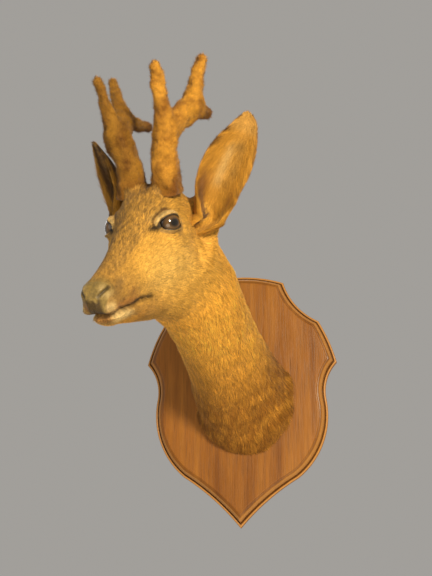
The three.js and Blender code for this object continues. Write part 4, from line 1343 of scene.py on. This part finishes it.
class MOUNT_OT_hanger(bpy.types.Operator):
    """Plate the hanger and its screws with zinc"""

    bl_idname = "mount.hanger"
    bl_label = "Hanger"

    def execute(self, context):
        material = steel_material()
        for name in ("hanger_plate", "hanger_screw_left", "hanger_screw_right"):
            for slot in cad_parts[name].material_slots:
                slot.material = material
        return {"FINISHED"}


SHEETS = {}                            # grids worked out once and used by several pieces


def skin_sheet():
    """The skin's grid with its normals, flow and colours, worked out once."""
    if "skin" not in SHEETS:
        points = skin_grid()
        SHEETS["skin"] = {"points": points, "normal": normals_of(points), "map": SKIN_MAP}
        SHEETS["skin"]["flow"] = unit(np.gradient(points, axis=0))
    return SHEETS["skin"]


def ear_sheet(name):
    """One ear's grid with its normals, flow and place values."""
    if name not in SHEETS:
        ear = EARS[name]
        points, s, t, inner = ear_grid(ear["side"], ear["root"], ear["tip"], ear["face"])
        low_u = 0.02 if name == "left" else 0.52
        normal = normals_of(points)
        SHEETS[name] = {
            "points": points, "normal": normal, "flow": unit(np.gradient(points, axis=0)),
            "map": (low_u, 0.84, low_u + 0.46, 0.99), "s": s, "t": t, "inner": inner,
        }
    return SHEETS[name]


class MOUNT_OT_skin(bpy.types.Operator):
    """Stretch one skin over the muzzle, head, jaw, neck and ears"""

    bl_idname = "mount.skin"
    bl_label = "Skin"

    def execute(self, context):
        parts = []
        start = 0
        for name in ("skin", "left", "right"):
            sheet = skin_sheet() if name == "skin" else ear_sheet(name)
            rows, columns = sheet["points"].shape[:2]
            points, quads, caps = closed_grid(sheet["points"], start)
            if name == "skin":
                shade, bare = markings(points), bare_nose(points)
            else:
                s, t, inner = (np.append(sheet[key], sheet[key][[0, -1], 0]) for key in ("s", "t", "inner"))
                shade = ear_markings(points, s, t, inner, EARS[name]["shaded"])
                bare = np.zeros(len(points))
            uv = grid_uv(rows, columns, sheet["map"])
            parts.append((points, quads, caps, uv, cap_uv(columns, sheet["map"]), shade, bare))
            start += len(points)
        points, quads, caps, uv, pole_uv, shade, bare = (np.concatenate(part) for part in zip(*parts))
        colours = np.clip(shade * SKIN_PAINTED_SHADE, 0, 1)
        uv = np.concatenate((uv, pole_uv))
        piece = write_mesh("skin", to_world(points), [quads, caps], skin_material(), uv, colours,
                           {"Bare": bare})
        hold(piece, "coat", "neck", "head", "muzzle", "nose", "lower_jaw", "ear_left", "ear_right")
        return {"FINISHED"}


def ball_points(rows=48, columns=64):
    """Globe about an eye's own line: rings from the front pole to the back one."""
    down = math.pi * (np.arange(rows) + 0.5)[:, None] / rows
    turn = 2 * math.pi * np.arange(columns)[None] / columns
    return np.stack((np.sin(down) * np.cos(turn), np.sin(down) * np.sin(turn), np.cos(down) + 0 * turn), -1)


class MOUNT_OT_eyes(bpy.types.Operator):
    """Set the glass eyes and the dark rims of their lids"""

    bl_idname = "mount.eyes"
    bl_label = "Eyes"

    def execute(self, context):
        settings = context.scene.mount_eyes
        glass = glass_eye_material(settings)
        rim = rim_material()
        for name, side in (("left", 1), ("right", -1)):
            axes = np.stack([mirrored(way, side) for way in (SLIT_WAY, LIFT_WAY, LOOK_WAY)])
            centre = mirrored(EYE_PLACE, side)
            flat, quads, caps = closed_grid(ball_points())
            flat[-2:] = unit(flat[-2:])
            level = np.hypot(flat[:, 0] / 1.25, flat[:, 1]) * np.where(flat[:, 2] > 0, 1, 3) * 1.35
            place = to_world(centre + EYE_RADIUS * flat @ axes)
            iris = {"Iris": np.clip(level, 0, 1)}
            eye = write_mesh(f"eye_{name}_glass", place, [quads, caps], glass, masks=iris)
            hold(eye, "eye_glass", f"eye_{name}")
            turn = 2 * math.pi * np.arange(96) / 96
            u = np.cos(turn) * np.where(np.cos(turn) > 0, LID_CORNERS["front"], LID_CORNERS["rear"])
            v = np.sin(turn) * np.abs(np.sin(turn)) ** 0.3
            v = v * np.where(v > 0, LID_CORNERS["upper"], LID_CORNERS["lower"])
            flat_ring = centre + u[:, None] * axes[0] + v[:, None] * axes[1]
            way = np.broadcast_to(axes[2], flat_ring.shape)
            edge = reach(flat_ring, way, skin_distance, 24.0, 1.0)
            edge = edge - 0.7 * axes[2]
            thick = settings.rim / MM * (0.75 + 0.35 * np.abs(np.sin(turn)))
            tube = carried(edge, 14, thick, 0.8, way)
            count = tube.shape[0]
            tube_faces = grid_faces(count + 1, 14)
            tube_faces = np.where(tube_faces >= count * 14, tube_faces - count * 14, tube_faces)
            lid = write_mesh(f"lid_rim_{name}", to_world(tube.reshape(-1, 3)), [tube_faces], rim)
            hold(lid, "nose_skin")
        return {"FINISHED"}


def antler_colours(p, side, settings):
    """Velvet colours: light hair mottled with dark, darker at the base, with painted shade over the whole
    right antler and painted shadow at the rear tine's end.
    """
    rear = np.linalg.norm(p - np.array(ANTLERS[side]["rear"]), axis=-1)
    base = np.linalg.norm(p - np.array(ANTLERS[side]["base"]), axis=-1)
    colour = np.broadcast_to(np.array(settings.light[:]), p.shape).copy()
    patch = 0.3 + 0.3 * ripple(p, 19, 33) + 0.18 * ripple(p, 8, 34)
    # painted shade: the whole antler is scaled darker on the right
    colour = painted(colour, (patch, np.array(settings.dark[:]))) * ANTLER_PAINTED_SHADE[side]
    # painted shadow at the end of the rear tine
    colour = painted(colour, (0.75 * (1 - rise(rear, 12, 34)), np.array(settings.dark[:]) * 0.7))
    return painted(colour, (0.6 * (1 - rise(base, 16, 34)), np.array(settings.dark[:]) * 0.8))


def antler_sheets(side):
    """Grids of an antler's three limbs."""
    key = f"antler_{side}"
    if key not in SHEETS:
        lines = antler_lines(side)
        SHEETS[key] = [limb_grid(line, radii, lines) for line, radii in lines]
    return SHEETS[key]


class MOUNT_OT_antlers(bpy.types.Operator):
    """Grow the two antlers, thick and blunt in their velvet"""

    bl_idname = "mount.antlers"
    bl_label = "Antlers"

    def execute(self, context):
        settings = context.scene.mount_antlers
        material = velvet_material()
        for side in ANTLERS:
            limbs = []
            start = 0
            for grid in antler_sheets(side):
                limbs.append(closed_grid(grid, start))
                start += len(limbs[-1][0])
            points, quads, caps = (np.concatenate(part) for part in zip(*limbs))
            colours = np.clip(antler_colours(points, side, settings), 0, 1)
            piece = write_mesh(f"antler_{side}_velvet", to_world(points), [quads, caps], material,
                               colours=colours)
            parts = ("beam", "front_tine", "top_tine", "rear_tine")
            hold(piece, "velvet", *(f"antler_{side}_{part}" for part in parts))
        return {"FINISHED"}


def strand_tone(rng, count, dark_share):
    """Brightness of each lock: most vary a little, some are dark."""
    tone = rng.normal(1.0, 0.12, count)
    return np.where(rng.random(count) < dark_share, tone * rng.uniform(0.45, 0.75, count), tone)


class MOUNT_OT_coat(bpy.types.Operator):
    """Lay the coat over the skin in overlapping locks"""

    bl_idname = "mount.coat"
    bl_label = "Coat"

    def execute(self, context):
        settings = context.scene.mount_coat
        rng = np.random.default_rng(settings.seed)
        material = hair_material("coat_hair")
        sheet = skin_sheet()
        self.lay_head_and_neck(sheet, settings, rng, material)
        for name in EARS:
            self.lay_ear(name, ear_sheet(name), settings, rng, material)
        return {"FINISHED"}

    def lay_head_and_neck(self, sheet, settings, rng, material):
        """Short on the muzzle, longer over the cheeks and longest down the neck."""
        points = sheet["points"]
        s = along_neck(points)
        behind = rise(-points[..., 0], -95, 45)
        neck = rise(s, 0.0, 0.5) * rise(-points[..., 0], -30, 30)
        face, body = LOCKS["face"], LOCKS["body"]
        density = (face * (1 - behind) + body * behind) * (1 - neck) + body * neck
        u, v, w = lid_place(points)
        edge = lid_edge(u, v)
        close = (w > -6) & (np.hypot(u, v) < 34)
        density = np.where(close & ((edge < 1.6) | (tear_spot(u, v) > 0.3)), 0, density)
        density = density * (1 + 1.2 * close * near(edge, 4, 4))
        density = density * (1 - rise(bare_nose(points), 0.1, 0.5))
        density = density * rise(stroke(points, NOSTRIL), 2.0, 3.2)
        in_mouth = near(points[..., 2], mouth_line(points[..., 0]), 1.2) * (points[..., 0] > 72) > 0.5
        density = np.where(in_mouth, 0, density)
        mixed, place = scatter(sheet, density * settings.fullness, rng)
        root = mixed(points)
        count = len(root)
        normal = unit(mixed(sheet["normal"]))
        flow = mixed(sheet["flow"])
        sound = skin_distance(root + normal) > 0.5
        x = root[:, 0]
        share = mixed(behind)
        on_neck = mixed(neck)
        flow = comb(root, flow, normal, share)
        for ear in EARS.values():
            way = unit(np.subtract(ear["tip"], ear["root"]))
            gap = np.linalg.norm((root - np.array(ear["root"])) / (22, 20, 24), axis=-1)
            pull = (1 - rise(gap, 0.5, 1.25))[:, None]
            flow = square(flow * (1 - pull) + way * pull * 1.5, normal)
        short, long = settings.face_hair / MM, settings.neck_hair / MM
        length = short + (7.5 - short) * share
        length = length + (long - length) * on_neck
        gu, gv, gw = lid_place(root)
        lids = near(lid_edge(gu, gv), 2, 4) * (gw > -6) * (np.hypot(gu, gv) < 34)
        length = length * (1 - 0.45 * lids) * rng.uniform(0.75, 1.25, count)
        width = (0.45 + 0.3 * share + 0.1 * on_neck) * rng.uniform(0.7, 1.2, count)
        lift = 0.11 * rng.uniform(0.4, 1.6, count)
        foot = rise(mixed(s), 0.93, 0.99)
        jaw_edge = rise(-root[:, 2] - 0.45 * (60 - x), 52, 64) * rise(x, 20, 50) * (1 - rise(x, 84, 100))
        lift = lift + (0.25 * foot + 0.12 * jaw_edge) * rng.random(count)
        length = length * (1 + 0.7 * jaw_edge)
        dusky = near(mixed(points)[:, 1], 0, 26) * rise(root[:, 2], 0, 20) * rise(x, -60, -40)
        tone = strand_tone(rng, count, 0.12 + 0.22 * on_neck + 0.3 * dusky)
        colour = markings(root) * tone[:, None]
        arrays = tuft_arrays(root, flow, normal, length, width, lift, colour, place, rng)
        turn = np.arctan2(root[:, 1], root[:, 2] + 30)
        on_face = on_neck < 0.35
        regions = {
            "coat_muzzle": x > 38,
            "coat_brow": (x <= 38) & on_face & (root[:, 2] > 14),
            "coat_cheek_left": (x <= 38) & on_face & (root[:, 2] <= 14) & (turn >= 0),
            "coat_cheek_right": (x <= 38) & on_face & (root[:, 2] <= 14) & (turn < 0),
        }
        rest = (on_neck >= 0.35) & (x <= 38)
        cut = np.quantile(place[rest, 1], (1 / 3, 2 / 3))
        band = np.digitize(place[:, 1], cut)
        for k, name in enumerate(("coat_neck_upper", "coat_neck_middle", "coat_neck_lower")):
            regions[name] = rest & (band == k)
        for name, chosen in regions.items():
            keep = np.repeat(chosen & sound, 4)
            write_tufts(name, *(part[keep] for part in arrays), material)

    def lay_ear(self, name, sheet, settings, rng, material):
        """Short outside, long and pale inside, and a fringe round both rims."""
        s, t, inner = sheet["s"], sheet["t"], sheet["inner"]
        density = np.where(s < -0.2, 0, LOCKS["ears"]) * (1 + 0.9 * rise(np.abs(t), 0.75, 0.95))
        mixed, place = scatter(sheet, density * settings.fullness, rng)
        root = mixed(sheet["points"])
        count = len(root)
        normal = unit(mixed(sheet["normal"]))
        flow = mixed(sheet["flow"])
        gs, gt, gi = mixed(s), mixed(t), mixed(inner)
        inside = rise(-gi, 0.0, 0.3)
        rim = rise(np.abs(gt), 0.8, 0.97)
        flow = unit(flow + normal * (0.1 * inside + 0.25 * rim)[:, None])
        longest = settings.ear_hair / MM
        length = (4.5 + (longest - 4.5) * inside * (1 - rise(gs, 0.6, 0.95))) * rng.uniform(0.7, 1.25, count)
        width = (0.5 + 0.15 * inside) * rng.uniform(0.7, 1.2, count)
        lift = (0.14 + 0.12 * inside) * rng.uniform(0.5, 1.6, count)
        colour = ear_markings(root, gs, gt, gi, EARS[name]["shaded"]) * strand_tone(rng, count, 0.08)[:, None]
        toward = 0.9 * rim[:, None] * np.array(EARS[name]["face"])
        arrays = tuft_arrays(root, flow, normal, length, width, lift, colour, place, rng, toward)
        write_tufts(f"coat_ear_{name}", *arrays, material)


def comb(root, flow, normal, share):
    """Lie of the coat: backwards along the head and down the neck, drooping a little under the jaw
    and swayed by soft waves, always along the skin."""
    down = np.array((0.0, 0.0, -1.0)) @ HEAD
    wave = ripple(root, 26, 41)[:, None] * 0.16 + ripple(root, 9, 42)[:, None] * 0.08
    side = np.cross(normal, flow)
    combed = flow + side * wave + down * 0.25 * share[:, None]
    return square(combed, normal)


class MOUNT_OT_fuzz(bpy.types.Operator):
    """Raise the short fuzz of the antlers' velvet"""

    bl_idname = "mount.fuzz"
    bl_label = "Antler fuzz"

    def execute(self, context):
        settings = context.scene.mount_antlers
        rng = np.random.default_rng(context.scene.mount_coat.seed + 1)
        material = hair_material("velvet_hair", 1100.0, 0.3)
        for side in ANTLERS:
            lines = antler_lines(side)
            parts = []
            for index, grid in enumerate(antler_sheets(side)):
                inside = antler_distance(grid, lines) < -0.5
                sheet = {"points": grid, "map": (0.34 * index, 0.0, 0.34 * index + 0.3, 1.0)}
                normal = normals_of(grid)
                density = np.where(inside, 0, LOCKS["antlers"])
                mixed, place = scatter(sheet, density, rng)
                root = mixed(grid)
                count = len(root)
                out = unit(mixed(normal))
                flow = unit(mixed(unit(np.gradient(grid, axis=0)))) + 0.5 * rng.normal(size=(count, 3))
                flow = square(flow, out)
                length = settings.fuzz / MM * rng.uniform(0.6, 1.3, count)
                width = rng.uniform(0.35, 0.6, count)
                lift = rng.uniform(0.25, 0.7, count)
                colour = antler_colours(root, side, settings) * strand_tone(rng, count, 0.12)[:, None]
                parts.append(tuft_arrays(root, flow, out, length, width, lift, colour * 1.1, place, rng))
            arrays = [np.concatenate(part) for part in zip(*parts)]
            write_tufts(f"fuzz_{side}", *arrays, material)
        return {"FINISHED"}


# Camera: bearing and height of its place about the origin, distance, then where it points.
CAMERA_BEARING = 6.8
CAMERA_HEIGHT = -7.1
CAMERA_DISTANCE = 1.051
CAMERA_YAW = 8.8
CAMERA_PITCH = 15.5
CAMERA_ROLL = 0.4
CAMERA_LENS = 46.6
FLOOR_RADIUS = 9000.0
LIGHTS_TARGET = Vector((-0.03, -0.2, 0.05))
LIGHTS = {                             # setting of its power, place, size and colour
    "key": ("key", (1.0, -2.15, 0.45), 0.45, (1.0, 0.88, 0.66)),
    "fill": ("fill", (-1.6, -1.5, 0.3), 1.6, (1.0, 0.95, 0.88)),
    "low": ("low", (0.4, -1.8, -1.0), 1.2, (1.0, 0.9, 0.72)),
    "back": ("fill", (-0.6, 1.3, 1.2), 1.2, (1.0, 1.0, 1.0)),
}


class MOUNT_OT_stage(bpy.types.Operator):
    """Place the floor, the soft lights and the camera"""

    bl_idname = "mount.stage"
    bl_label = "Stage"

    def execute(self, context):
        settings = context.scene.mount_stage
        scene = context.scene
        self.place_camera(scene)
        turn = 2 * math.pi * np.arange(64) / 64
        height = np.full(64, -settings.floor_drop / MM)
        points = np.stack((FLOOR_RADIUS * np.cos(turn), FLOOR_RADIUS * np.sin(turn), height), -1)
        floor = write_mesh("floor", points, [np.arange(64)[None]],
                           plain_material("floor_paper", (0.78, 0.77, 0.75), 0.9))
        for name, (power, place, size, colour) in LIGHTS.items():
            self.place_light(scene, name, place, getattr(settings, power), size, colour)
        world = bpy.data.worlds.new("surroundings")
        world.use_nodes = True
        background = world.node_tree.nodes["Background"]
        background.inputs["Color"].default_value = (1.0, 0.96, 0.9, 1)
        background.inputs["Strength"].default_value = settings.world
        scene.world = world
        scene.view_settings.view_transform = "Standard"
        return {"FINISHED"}

    def place_light(self, scene, name, place, power, size, colour):
        """Round soft light turned to the head."""
        data = bpy.data.lights.new(name, "AREA")
        data.energy = power
        data.shape = "DISK"
        data.size = size
        data.color = colour
        light = bpy.data.objects.new(name, data)
        light.location = place
        light.rotation_euler = (LIGHTS_TARGET - Vector(place)).to_track_quat("-Z", "Y").to_euler()
        scene.collection.objects.link(light)

    def place_camera(self, scene):
        """Camera from its bearing, height and distance, pointed by yaw, pitch and roll."""
        a, e, y, t, r = (math.radians(angle) for angle in
                         (CAMERA_BEARING, CAMERA_HEIGHT, CAMERA_YAW, CAMERA_PITCH, CAMERA_ROLL))
        place = CAMERA_DISTANCE * Vector((math.sin(a) * math.cos(e), -math.cos(a) * math.cos(e), math.sin(e)))
        ahead = Vector((-math.sin(y) * math.cos(t), math.cos(y) * math.cos(t), math.sin(t)))
        level = ahead.cross(Vector((0, 0, 1))).normalized()
        upright = level.cross(ahead)
        right = level * math.cos(r) + upright * math.sin(r)
        up = upright * math.cos(r) - level * math.sin(r)
        camera = bpy.data.objects.new("camera", bpy.data.cameras.new("camera"))
        camera.data.lens = CAMERA_LENS
        camera.matrix_world = Matrix((right, up, -ahead)).transposed().to_4x4()
        camera.location = place
        scene.collection.objects.link(camera)
        scene.camera = camera


OPERATORS = (MOUNT_OT_stage, MOUNT_OT_board, MOUNT_OT_hanger, MOUNT_OT_skin, MOUNT_OT_eyes,
             MOUNT_OT_antlers, MOUNT_OT_coat, MOUNT_OT_fuzz)


class MOUNT_PT_panel(bpy.types.Panel):
    """Steps and settings of the head mount"""

    bl_idname = "MOUNT_PT_panel"
    bl_label = "Head mount"
    bl_space_type = "VIEW_3D"
    bl_region_type = "UI"
    bl_category = "Head mount"

    def draw(self, context):
        for step in OPERATORS:
            self.layout.operator(step.bl_idname)
        for key, group in SETTINGS.items():
            column = self.layout.column(align=True)
            for name in group.__annotations__:
                column.prop(getattr(context.scene, key), name)


def register():
    """Registers the settings, the steps and the panel."""
    for kind in (*SETTINGS.values(), *OPERATORS, MOUNT_PT_panel):
        bpy.utils.register_class(kind)
    for key, group in SETTINGS.items():
        setattr(bpy.types.Scene, key, PointerProperty(type=group))


def unregister():
    """Takes them away again."""
    for key in SETTINGS:
        delattr(bpy.types.Scene, key)
    for kind in (MOUNT_PT_panel, *reversed(OPERATORS), *SETTINGS.values()):
        bpy.utils.unregister_class(kind)


def main():
    """Builds everything in order."""
    register()
    for step in OPERATORS:
        group, name = step.bl_idname.split(".")
        getattr(getattr(bpy.ops, group), name)()
    bpy.context.view_layer.update()


if __name__ == "__main__":
    main()
